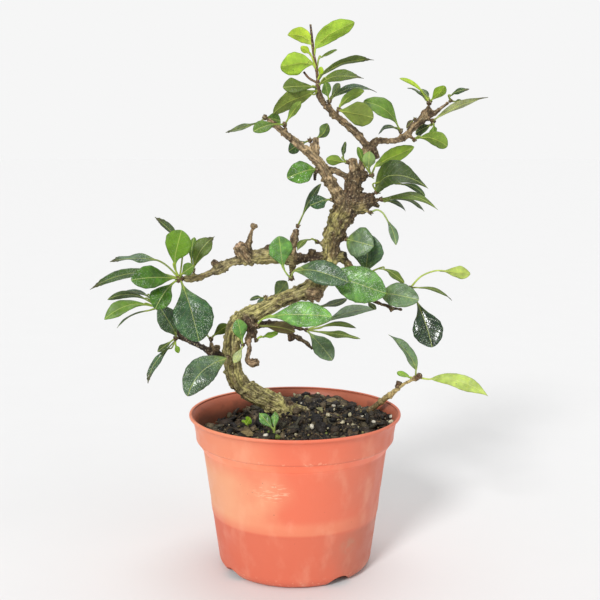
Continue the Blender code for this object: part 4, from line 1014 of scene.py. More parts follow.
SPRAYS: dict[str, Spray] = {
    "crown_left_tip": Spray((-20.4, 316.2, -26.8), 3.6, (-16, 312.8, -24.4), 3.4, (
        Leaf((-25, 312.2, -29), (-47.4, 306.2, -38), 8, Tone.GREY, 115, sway=0.6, end=Tip.WITHERED, wave=2),
        Leaf((-19.6, 316.6, -22.5), (-9.8, 314, -14), 9.5, Tone.MID, 15),
    )),
    "crown_left_middle": Spray((-7.1, 311.4, -23), 3.4, (-5.4, 304.6, -18.4), 3.4, (
        Leaf((-5.6, 314, -23.6), (4, 327.4, -27), 6.5, Tone.MID, 152, sway=0.2),
        Leaf((-13.4, 311.8, -28.5), (-28.4, 306.8, -36), 10, Tone.MID, 35, 1, 0.4),
    )),
    "crown_left_back": Spray((10.4, 300.8, -0.4), 3.2, (12, 291.4, -8), 3.6, (
        Leaf((7.6, 300, 1), (-4.4, 293.4, 6), 10, Tone.DARK, 30, 1),
        Leaf((15.4, 302.4, 2), (22, 312.4, 5), 9.5, Tone.DEEP, 150, 0, -1.4),
    )),
    "crown_left_front": Spray((15, 281, -12.6), 3.4, (17.4, 282.6, -6.8), 4, (
        Leaf((12.6, 281.6, -14.8), (-5.4, 275.4, -23), 15.5, Tone.WET, 7, 3.5, belly=1.1),
    )),
    "crown_middle_top": Spray((23.4, 327.2, -5.6), 3.2, (24, 321.6, -2.2), 3.6, (
        Leaf((22.6, 330, -7.8), (20.5, 339.6, -12), 8.5, Tone.MID, 35),
        Leaf((24.6, 330.4, -4), (30.5, 338.8, 0), 7.5, Tone.GREY, 140),
        Leaf((28.4, 332.6, 1), (55.6, 333.2, 12), 9, Tone.DARK_GREY, 60, 1.5, 2, belly=0.9,
             end=Tip.WITHERED),
    )),
    "crown_middle_right": Spray((29.8, 321.6, -3.6), 3.2, (27.6, 318, -1), 3.8, (
        Leaf((31, 325.4, -4.6), (47, 334, 1), 8, Tone.MID, 152, 0, 1.6, belly=1.0),
        Leaf((32, 320.2, -6.6), (53.6, 316.2, -17), 17, Tone.OLIVE, 165, 1, 0.2, belly=1.1),
    )),
    "crown_right_left": Spray((72.2, 307.2, 15.4), 3.4, (72.6, 302, 17), 3.8, (
        Leaf((70.2, 310.6, 14), (46.6, 327, 8), 16.5, Tone.MID, 48, 4, 1),
        Leaf((69.4, 309.4, 18), (57.2, 305, 27), 7, Tone.DARK_GREY, 62, 1.5, 1.6),
    )),
    "crown_right_end": Spray((91.4, 326.4, 21.8), 3.8, (90.8, 321, 22), 4, (
        Leaf((89, 330.2, 20), (71, 342.4, 12), 4.8, Tone.BRIGHT, 60, 0.5, 2),
        Leaf((89, 328, 24), (76.4, 336, 33), 6.5, Tone.DARK, 72, 1, 1),
        Leaf((91.2, 329.4, 25), (86, 335.4, 32), 6.5, Tone.DARK, 50),
        Leaf((93.8, 329, 19.6), (101.4, 337.6, 14), 10, Tone.LIME, 140, 0, -0.8, belly=1.1),
    )),
    "crown_right_prong": Spray((105.9, 327.5, 16.2), 2.6, (101, 323.6, 17.7), 2.4, (
        Leaf((104.4, 331.2, 13), (118.4, 335.4, 8), 6, Tone.DARK, 56, 0, 0.6, end=Tip.WITHERED),
        Leaf((108.6, 327, 19), (115.4, 326.4, 27), 5, Tone.OLIVE, 40),
    )),
    "crown_right_low": Spray((94.2, 314, 19), 3.6, (88.8, 316, 21.4), 4, (
        Leaf((97.4, 316.4, 15), (131.4, 329.8, 1), 9, Tone.PALE, 124, 0, 2.2, belly=1.0, end=Tip.WITHERED,
             wave=2),
        Leaf((93.4, 311, 22), (82.4, 305.6, 32), 8.5, Tone.DARK_OLIVE, 32, 1),
        Leaf((95, 311, 17.6), (94, 304.6, 12), 6.5, Tone.MID, 40),
    )),
    "crown_right_back": Spray((82, 315, 25.6), 2.8, (84, 312.6, 20.2), 3.2, (
        Leaf((80.6, 314.6, 28), (76, 309.6, 34), 6.5, Tone.BROWN, 50),
    )),
    "crown_right_under": Spray((81.6, 301.4, 14.6), 3, (77.4, 305, 18.4), 3.6, (
        Leaf((84.4, 303.6, 12), (104.4, 296.8, 1), 12.5, Tone.MID, 152, 2, 1),
    )),
    "crown_fork": Spray((52.6, 277.2, 0.4), 3.6, (47, 277.2, 2), 5, (
        Leaf((56.4, 286, 13), (81.6, 296.4, 27), 12, Tone.LIME, 152, 0, -0.4, belly=0.9),
        Leaf((50.6, 281.6, -3.6), (51.2, 293.4, -9), 9.5, Tone.SAGE, 10, 1),
        Leaf((47.6, 284.4, -3), (43, 296.4, -6), 5.5, Tone.MID, 40),
    )),
    "crown_stub": Spray((36, 286, -1.4), 2.8, (39.8, 283.6, 1.6), 3.6, (
        Leaf((34, 286.2, -3), (21.4, 288.4, -9), 8, Tone.MID, 152),
        Leaf((32.2, 289, -1), (34.6, 300, -3), 5.5, Tone.DARK, 56),
    )),
    "right_knob_top": Spray((56.4, 265.8, -2), 3.6, (50, 261.4, 1), 6, (
        Leaf((53.6, 271, -5), (91.8, 268.2, -19), 22, Tone.DARK_OLIVE, 40, 9, 1.4, 14, belly=0.75,
             end=Tip.POINTED, wave=2),
        Leaf((72, 271.4, 4), (89.8, 262.8, 6), 6, Tone.DARK, 50, 1, 1.5, via=((60, 271, 1),)),
    )),
    "right_knob_tip": Spray((59.2, 260.7, -2), 3.2, (53, 260, 0), 5, (
        Leaf((63, 261.6, -4), (98.6, 253.6, -20), 8.5, Tone.OLIVE, 62, 5, 0.8, belly=0.9, end=Tip.POINTED,
             twist=30, wave=2),
        Leaf((62.6, 260, -1), (89.4, 252.4, 14), 8.5, Tone.DARK_OLIVE, 64, 4, 1, end=Tip.POINTED, wave=2),
        Leaf((61.8, 259, 1.4), (76.4, 252.6, 17), 6.5, Tone.DARK, 60, 2, 1, end=Tip.POINTED),
    )),
    "right_knob_low": Spray((52.2, 251.6, -4.6), 3, (46, 254.4, 0), 6, (
        Leaf((63.6, 247, -10), (70.2, 229, -17), 6.4, Tone.GREY, 34, 0, 1.1, 10,
             ((56.6, 253.4, -6), (60.6, 251.4, -8)), end=Tip.OVAL, twist=30),
    )),
    "trunk_left": Spray((25.4, 260.4, -6.4), 3, (33, 257, 1.5), 6, (
        Leaf((22.4, 260.6, -8.4), (10.4, 256.4, -16), 11.5, Tone.DEEP, 18, 1),
    )),
    "left_spur_top": Spray((1.9, 242.2, -0.4), 3, (1, 238.6, 0), 3.4, (
        Leaf((5, 249, -2), (18, 271.4, -8), 8.5, Tone.DARK, 52, 0, 1, 20, end=Tip.OVAL),
    )),
    "trunk_left_knob": Spray((15.4, 231.2, 5.8), 3, (20.6, 229.6, 8.8), 4.6, (
        Leaf((12, 233.4, 1), (1.6, 225.2, -8), 6.5, Tone.OLIVE, 60, 1.5, 1, end=Tip.POINTED),
    )),
    "left_low": Spray((-2.6, 206, -6.6), 4, (-1.2, 216.5, 1), 5, (
        Leaf((-9, 214.4, -14), (-11.2, 235.2, -21), 17, Tone.FRESH, 8, 1, 0, 10, ((-5.6, 208.6, -10.5),)),
        Leaf((3.4, 213.2, -10), (37.4, 203, -20), 18, Tone.DARK_GREY, 18, 3, 0.2, 10, ((-1.4, 210, -8.4),),
             1.0),
    )),
    "trunk_front": Spray((20.6, 209.4, 1.8), 4, (21.4, 209, 9), 6, (
        Leaf((24.6, 208.8, -1.6), (63.8, 195, -11), 26, Tone.FRESH, 10, 3, -0.6, 9, belly=1.05),
    )),
    "trunk_right": Spray((35.8, 233, 8), 3.2, (28, 231.6, 10.4), 5, (
        Leaf((37.2, 232.8, 5), (54.6, 228.2, -4), 22, Tone.GREY, 10, 1, 0, 5, belly=0.85),
    )),
    "middle_right_top": Spray((48.6, 208.4, 10.6), 3.2, (45, 205, 13.4), 4, (
        Leaf((50, 211.8, 10), (53, 236, 9), 23, Tone.DARK_GREY, 10, 1, 0.6, 8, belly=1.1),
        Leaf((61, 213.6, 15), (76.4, 202.4, 13), 7.5, Tone.OLIVE, 48, 1),
    )),
    "middle_right_fold": Spray((50.4, 192, 8.2), 2.8, (53, 193, 12), 3.4, (
        Leaf((51, 189.6, 6), (56.6, 183.6, 1), 6.5, Tone.DARK_OLIVE, 55),
    )),
    "middle_right_round": Spray((60, 193.4, 9.2), 2.8, (54.6, 191.4, 11.5), 3.2, (
        Leaf((62.6, 195.8, 6), (86.8, 190.4, -5), 19.5, Tone.GREY, 22, 1, -0.2, 9, belly=0.85),
    )),
    "middle_right_end": Spray((80.6, 199, 16.2), 3.4, (75, 198.7, 16.8), 2.4, (
        Leaf((104, 211, 8), (122.4, 208.8, 2), 10.5, Tone.STRAW, 150, 0, 0, 8,
             ((88, 207, 13), (97, 210.8, 10))),
        Leaf((85, 199.2, 19), (110, 190, 30), 7.5, Tone.OLIVE, 66, 2, 1.3, end=Tip.WITHERED, wave=2),
        Leaf((85.8, 188.8, 10.6), (96.8, 156.6, -5), 21.5, Tone.BLACK, 8, -1, 1, 10, belly=1.5),
    )),
    "elbow": Spray((-27, 172.6, -15.6), 3.4, (-32, 173.4, -8), 7, (
        Leaf((-18, 179.4, -19), (26, 178.6, -27), 18.5, Tone.FRESH, 20, 3, 0, 9, ((-23.4, 176.4, -17.6),)),
        Leaf((-22.4, 171.6, -13), (0, 167.6, -6), 9.5, Tone.BROWN, 150, 1, 1),
    )),
    "hanging_stub": Spray((-27.4, 162, -7), 3, (-29.6, 166.6, -6.2), 4, (
        Leaf((-24, 164.6, -6), (-12, 168, 0), 6, Tone.LIGHT, 52, 0, -1),
    )),
    "under": Spray((8, 169.2, 23.4), 3.2, (3, 170.2, 20.8), 3, (
        Leaf((10, 166.8, 20), (26.4, 147.2, 8), 14.5, Tone.GREY, 6, 1, 0.6, 12),
        Leaf((17.6, 170.4, 26), (43, 170.4, 38), 8, Tone.OLIVE, 58, 3, 0.6, end=Tip.OVAL, wave=2),
        Leaf((19.6, 167.2, 23), (46, 162.8, 19), 6.5, Tone.OLIVE, 50, 0, 0.6, belly=0.8, end=Tip.OVAL,
             wave=2),
        Leaf((22, 174.6, 29), (56.4, 184, 44), 15, Tone.GREY, 54, 2, 1),
    )),
    "under_back": Spray((13, 186.4, 15.6), 3, (10.6, 193, 9.6), 5, (
        Leaf((16.4, 186, 19), (36, 191.4, 32), 9.5, Tone.DARK_OLIVE, 62, 0, -1.6),
    )),
    "lower_trunk": Spray((-36.6, 158.4, -10.4), 2.8, (-33, 161, -6.5), 3.6, (
        Leaf((-37.6, 161.4, -12.6), (-40.4, 176.6, -15), 11, Tone.FRESH, 14, 1),
        Leaf((-37.4, 156.2, -12.4), (-43.2, 145.4, -14.4), 6.5, Tone.PALE, 22),
    )),
    "trunk_back": Spray((-14.4, 192, 13.6), 3.2, (-11, 190, 4), 6, (
        Leaf((-15.4, 192.4, 17), (-5.8, 203.6, 24), 13, Tone.DARK_GREY, 158, 0, -0.8),
        Leaf((-16.6, 190.6, 18), (-26, 184, 32), 10, Tone.DARK_GREY, 40, 2),
    )),
    "trunk_top": Spray((-20.6, 192.4, 2.6), 2.8, (-20, 186, 0.8), 4, (
        Leaf((-23, 191.8, 4), (-31.6, 190.6, 8), 6.5, Tone.DARK, 58, 1),
    )),
    "low_front": Spray((-47.4, 149.6, -8.6), 3.4, (-45, 151, -1), 6, (
        Leaf((-50.6, 147.4, -11.6), (-76.4, 121.2, -27), 20.5, Tone.MIST, 9, 3.5, 4.4, 8, belly=1.0),
    )),
    "lower_left_spur": Spray((-59.2, 162.4, 8.2), 3.2, (-58.6, 153, 6.2), 5, (
        Leaf((-57.6, 165, 9.4), (-46.6, 172.4, 13), 8.5, Tone.DARK_OLIVE, 150, 1),
        Leaf((-61.4, 164.6, 11), (-69, 172, 22), 8, Tone.DARK, 60, 1),
    )),
    "left_end": Spray((-80.6, 205.4, -16.2), 5.2, (-74, 205.6, -13.8), 4.6, (
        Leaf((-78.2, 200.6, -20.6), (-67.6, 160.8, -33), 28, Tone.DEEP, 8, 4, 0, 12),
        Leaf((-84.8, 215, -20), (-78.6, 239.4, -27), 19.5, Tone.LIME, 18, 1, 0, 8, belly=1.5),
        Leaf((-79.4, 208.6, -21), (-70.8, 214.8, -26), 9, Tone.MID, 20),
        Leaf((-77.8, 229, -13), (-97, 248.4, -4), 9.5, Tone.DARK_OLIVE, 56, 0, 0.8, 18,
             ((-79, 216, -14.6),), end=Tip.WITHERED),
        Leaf((-99, 219, -24), (-129, 217.4, -38), 10.5, Tone.DARK_GREY, 58, 0.4, 1, 14,
             ((-88, 213.4, -19), (-94, 217.6, -21.5)), 0.9, end=Tip.WITHERED, wave=2.5),
        Leaf((-100, 210, -13), (-143.4, 197.8, -6), 11.5, Tone.DARK, 50, 0.5, 3.2, 14,
             ((-91, 208.6, -14.6),), 0.95, end=Tip.WITHERED, wave=2.5),
        Leaf((-87.4, 206, -21.6), (-114.6, 204.4, -36), 16, Tone.GREEN, 20, 1, 0.6, belly=1.1, wave=2),
        Leaf((-86.6, 201.6, -20.6), (-98, 184, -28), 16.5, Tone.GREEN, 20, 2),
    )),
    "left_fork": Spray((-71, 211.4, -12.8), 3, (-70.6, 206, -13), 4, (
        Leaf((-70, 216.4, -12), (-55.8, 235, -5), 13.5, Tone.OLIVE, 24, 1, 1.4, belly=1.1, end=Tip.WITHERED,
             wave=2),
        Leaf((-72.2, 218, -9), (-70, 234.4, 2), 7, Tone.MID, 40, 1),
    )),
    "lower_left_end": Spray((-96.9, 184.7, 8.4), 3, (-93.4, 180, 9.8), 2.5, (
        Leaf((-104, 188, 6), (-134, 176.4, -4), 12, Tone.MID, 30, 3, 2, end=Tip.OVAL, wave=2),
        Leaf((-103, 191.4, 11), (-131.4, 190.6, 16), 8.5, Tone.DARK_OLIVE, 50, 3, 1, end=Tip.OVAL, wave=2),
        Leaf((-103, 182.8, 4), (-125.4, 170.4, -2), 5.5, Tone.DARK, 76, 1, 2, end=Tip.POINTED),
        Leaf((-102, 194, 12), (-119.6, 196.2, 24), 7, Tone.DARK_GREY, 56, 1),
    )),
    "lower_left_fork": Spray((-84, 163.2, 9.6), 3.4, (-79.6, 163.4, 14.2), 3, (
        Leaf((-83.8, 167, 7), (-95.2, 186, -6), 15.5, Tone.DARK_GREY, 16, 2, -0.6, 12, belly=1.1),
        Leaf((-87.4, 161, 7), (-97, 153.4, 3), 7.5, Tone.DARK_OLIVE, 48),
        Leaf((-84.4, 158.6, 9.4), (-82, 152.6, 10), 4.5, Tone.LIGHT, 30),
        Leaf((-86.8, 156.4, 9), (-104.4, 130.6, 0), 8, Tone.DARK_GREY, 40, 0, 3.8, end=Tip.WITHERED,
             wave=3),
    )),
}


@dataclass
class Leafy:
    """What bears leaves. Its finishes are the leaf's and, where it has one, the stem's."""

    maker: LeafMaker
    finishes: list[Material]

    def grown(self, name: str, slot: str, node: str, surfaces: list[Surface],
              leaves: Iterable[tuple[Reading, Leaf]]) -> Piece:
        """Add leaves to stems or a bud, and make them all one piece.

        Args:
            name: The piece's name.
            slot: The record's material slot; not used.
            node: The solid that it stands for.
            surfaces: The stems or the bud.
            leaves: Each leaf with the place where its stalk starts.

        Returns:
            The piece.
        """
        for root, leaf in leaves:
            surfaces += self.maker.leaf(VIEW.at(root), leaf)
        return make_piece(name, surfaces, self.finishes, slot, node)


@dataclass
class Foliage(Leafy):
    """The leafy sprays on the wood."""

    bud_rings: int = 9
    bud_corners: int = 12
    bud_brown: Rgb = (98, 78, 52)
    bud_green: Rgb = (128, 138, 70)
    scales: int = 5
    scale_width: float = 0.15
    lumpiness: float = 0.09

    def bud(self, centre: Array, foot: Array, size: float, seed: int) -> list[Surface]:
        """Make a bud: a lumpy ball on the spur, with a few pointed scales round its top.

        The ball's rings have radius size / 2 * sin(pi * t) and stand along the way from the
        foot, each point pushed out or in by noise.

        Args:
            centre: The bud's middle.
            foot: Where its spur stands.
            size: Its width.
            seed: Its own number, which varies its lumps.

        Returns:
            The ball and its scales.
        """
        way = unit(centre - foot)
        t = np.linspace(0.04, 0.96, self.bud_rings)
        path = centre - way * (np.cos(math.pi * t) * size * 0.6)[:, None]
        ball = tube(path, np.sin(math.pi * t) * size / 2, self.bud_corners, linear(self.bud_brown), 1)
        lumps = noise(ball.points * 0.9 + seed * 3.1, seed)
        ball.points += unit(ball.points - centre) * (lumps * size * self.lumpiness)[:, None]
        grown = [ball]
        side = unit(np.cross(way, [0.3, 0.5, 0.8]))
        other = np.cross(way, side)
        for number in range(self.scales):
            angle = math.tau * (number + 0.37 * seed) / self.scales
            lean = side * math.cos(angle) + other * math.sin(angle)
            start = centre + lean * size * 0.25
            end = start + (way * 0.8 + lean * 0.55) * size * (0.5 + 0.12 * (number % 3))
            bend = (start + end) / 2 + lean * size * 0.1
            path = flow(np.array([start, bend, end]), 3)
            shares = np.linspace(0, 1, len(path))
            tint = linear(self.bud_brown if number % 2 else self.bud_green)
            grown.append(tube(path, size * self.scale_width * (1 - 0.9 * shares ** 2), 6, tint, 1))
        return grown

    def build(self) -> list[Piece]:
        """Make each spray as a piece of its own, and return them."""
        pieces = []
        for number, (name, spray) in enumerate(SPRAYS.items()):
            bud = self.bud(VIEW.at(spray.hub), VIEW.at(spray.foot), spray.size, number)
            leaves = [(spray.hub, leaf) for leaf in spray.leaves]
            pieces.append(self.grown(f"leaves_{name}", "leaf", f"spray_{name}", bud, leaves))
        return pieces


@dataclass
class Leader(Leafy):
    """The young shoot on top of the crown, which carries its own leaves."""

    stem: Stations = (
        (20.4, 325.1, -3.3, 4), (19, 326.6, -3.8, 4.2), (16.6, 331, -4.4, 4.6),
        (15.4, 335.6, -4.4, 4), (15.5, 341, -4, 2.4), (14.6, 348, -3, 2.2), (12.9, 357, -2, 2),
        (11.8, 366, -1, 1.8), (10.4, 378, 0, 1.5),
    )
    stub: Stations = (
        (15.4, 339.4, -4, 1.8), (9.6, 342.5, -2, 1.6), (6, 346.6, 0, 1.5),
    )
    leaves: tuple[tuple[int, Leaf], ...] = (
        (6, Leaf((14.8, 367, -3), (39.9, 379.6, -14), 14.5, Tone.LIGHT, 152, 1, 0, belly=0.85)),
        (6, Leaf((10.4, 367.6, 0), (-5, 371, 6), 12, Tone.BRIGHT, 150, 1, 1.2, belly=0.85, end=Tip.OVAL)),
        (5, Leaf((10.6, 358.6, -4), (4, 363.6, -9), 5, Tone.BRIGHT, 158)),
        (5, Leaf((10, 354.4, -5), (-9.8, 350.6, -14), 15.8, Tone.LIGHT, 166, 1, -0.8, belly=1.0)),
        (5, Leaf((16.4, 356.8, 0), (28.4, 361.2, 8), 7.5, Tone.MID, 108, end=Tip.OVAL)),
        (4, Leaf((21.5, 348.6, 1), (53.4, 354.6, 16), 10, Tone.DARK_OLIVE, 126, 0, 2.5, belly=0.85,
                 end=Tip.WITHERED)),
        (3, Leaf((19.6, 342.6, -7), (46.6, 342.4, -19), 10.5, Tone.OLIVE, 42, 1.5, 0.4, belly=0.85,
                 end=Tip.WITHERED)),
        (4, Leaf((16.6, 344.4, -6), (18.2, 350, -9), 5, Tone.BRIGHT, 40)),
        (3, Leaf((12.4, 337.4, -8), (-8.2, 336.4, -17), 12.5, Tone.OLIVE, 40, 1, -0.4, wave=2)),
        (3, Leaf((13.4, 331.8, -9), (-14.8, 319.2, -22), 14, Tone.OLIVE, 155, 1, 2.4, belly=1.1, wave=2)),
    )
    bark_brown: Rgb = (112, 92, 66)
    young_brown: Rgb = (104, 74, 52)
    tip_brown: Rgb = (74, 52, 46)
    steps: int = 6
    corners: int = 12
    unevenness: float = 0.07

    def stem_surface(self, stations: Stations) -> Surface:
        """Make a stem through its stations, browner towards its tip."""
        path = smooth_path(stations, self.steps)
        shares = np.linspace(0, 1, len(path))[:, None]
        young, old = fade(shares, 0.2, 0.5), fade(shares, 0.75, 1.0)
        tint = linear(self.bark_brown) * (1 - young)
        tint = tint + linear(self.young_brown) * (young - old) + linear(self.tip_brown) * old
        swell = 1 + self.unevenness * np.sin(np.arange(len(path)) * 1.7)
        return tube(path[:, :3], path[:, 3] / 2 * swell, self.corners, tint, 1)

    def build(self) -> Piece:
        """Make the leader with its leaves and return it."""
        stems = [self.stem_surface(self.stem), self.stem_surface(self.stub)]
        leaves = [(self.stem[station][:3], leaf) for station, leaf in self.leaves]
        return self.grown("leader", "leaf", "spray_leader", stems, leaves)


@dataclass
class SideShoot(Leafy):
    """The shoot that comes out of the mix at the right, with leaves at its end."""

    stem: Stations = (
        (44, 101, 27, 4.6), (50, 108, 26, 5), (57, 113.8, 22.6, 5), (63, 118.8, 18, 5.8),
        (68, 122.4, 14, 5.2), (72.6, 126.6, 11, 3.8), (78, 130.4, 8, 2.8), (83, 133.2, 5, 3),
        (86.6, 135, 2.6, 5.6), (89.4, 136.6, 1, 4.4),
    )
    knob: Stations = ((72.4, 126.6, 11, 3.2), (73.8, 131.6, 10, 5.6))
    roots: tuple[Reading, ...] = ((85.6, 135.4, 3), (83, 133.2, 5), (88.4, 134.6, 2))
    leaves: tuple[Leaf, ...] = (
        Leaf((86, 143, 1), (66, 165.8, -8), 12, Tone.GREY, 38, 1, 0.8, 20, ((85.6, 139.6, 1),), 0.9,
             end=Tip.POINTED, twist=60, wave=3),
        Leaf((82.4, 135.2, 7), (72.4, 139, 14), 6, Tone.LIGHT, 48, 0, -0.4),
        Leaf((100.6, 134.4, -1), (137.2, 121.4, -14), 12.5, Tone.STRAW, 28, 3, 1.6, 12, ((95, 133.6, 0),),
             0.9, end=Tip.POINTED, wave=2),
    )
    steps: int = 7
    corners: int = 16
    slim: float = 0.76
    knot_size: float = 0.3
    bump_height: float = 0.4
    low_brown: Rgb = (112, 94, 62)
    tan: Rgb = (206, 184, 122)
    bud_brown: Rgb = (104, 78, 54)

    def limb(self, stations: Stations, middle: Rgb) -> Surface:
        """Make a knobby stem through its stations, from a dark foot to a brown end."""
        path = smooth_path(stations, self.steps)
        shares = np.linspace(0, 1, len(path))[:, None]
        tint = linear(self.low_brown) + (linear(middle) - linear(self.low_brown)) * fade(shares, 0.15, 0.55)
        tint = tint + (linear(self.bud_brown) - tint) * fade(shares, 0.78, 0.9)
        knots = self.knot_size * np.clip(np.sin(np.arange(len(path)) * 0.75), 0, 1) ** 6
        surface = tube(path[:, :3], path[:, 3] / 2 * (self.slim + knots), self.corners, tint, 1)
        centre = np.repeat(path[:, :3], self.corners, axis=0)
        bumps = layered_noise(surface.points * 0.6, 3, 5)
        surface.points += unit(surface.points - centre) * (bumps * self.bump_height)[:, None]
        return surface

    def build(self) -> Piece:
        """Make the side shoot with its leaves and return it."""
        stems = [self.limb(self.stem, self.tan), self.limb(self.knob, self.bud_brown)]
        return self.grown("side_shoot_grown", "young_stem", "side_shoot", stems,
                          zip(self.roots, self.leaves))


@dataclass
class SmallPlant(Leafy):
    """A small plant that stands in the mix: a thin stem and its leaves."""

    name: str
    node: str
    stem: Stations
    leaves: tuple[Leaf, ...]
    green: Rgb = (150, 178, 82)
    steps: int = 4
    corners: int = 10

    def build(self) -> Piece:
        """Make the plant and return it."""
        path = smooth_path(self.stem, self.steps)
        stem = tube(path[:, :3], path[:, 3] / 2, self.corners, linear(self.green))
        stem.mark_plain()
        x, z, depth, size = self.stem[-1]
        return self.grown(self.name, "leaf", self.node, [stem],
                          [((x, z - size / 2, depth), leaf) for leaf in self.leaves])


# Wood


class Bark(Enum):
    """Colours of the bark: its display tint and how much lichen grows on it."""

    MOSSY = ((214, 202, 138), 1.0)
    OLIVE = ((188, 174, 122), 0.6)
    UMBER = ((112, 88, 66), 0.1)
    BROWN = ((184, 154, 118), 0.15)
    GREY = ((212, 182, 138), 0.1)
    DARK = ((104, 82, 62), 0.1)
    BLACK = ((62, 50, 44), 0.0)


@dataclass(frozen=True)
class Branch:
    """One branch: its bark, and stations of x, z, depth and diameter from root to end."""

    bark: Bark
    stations: Stations


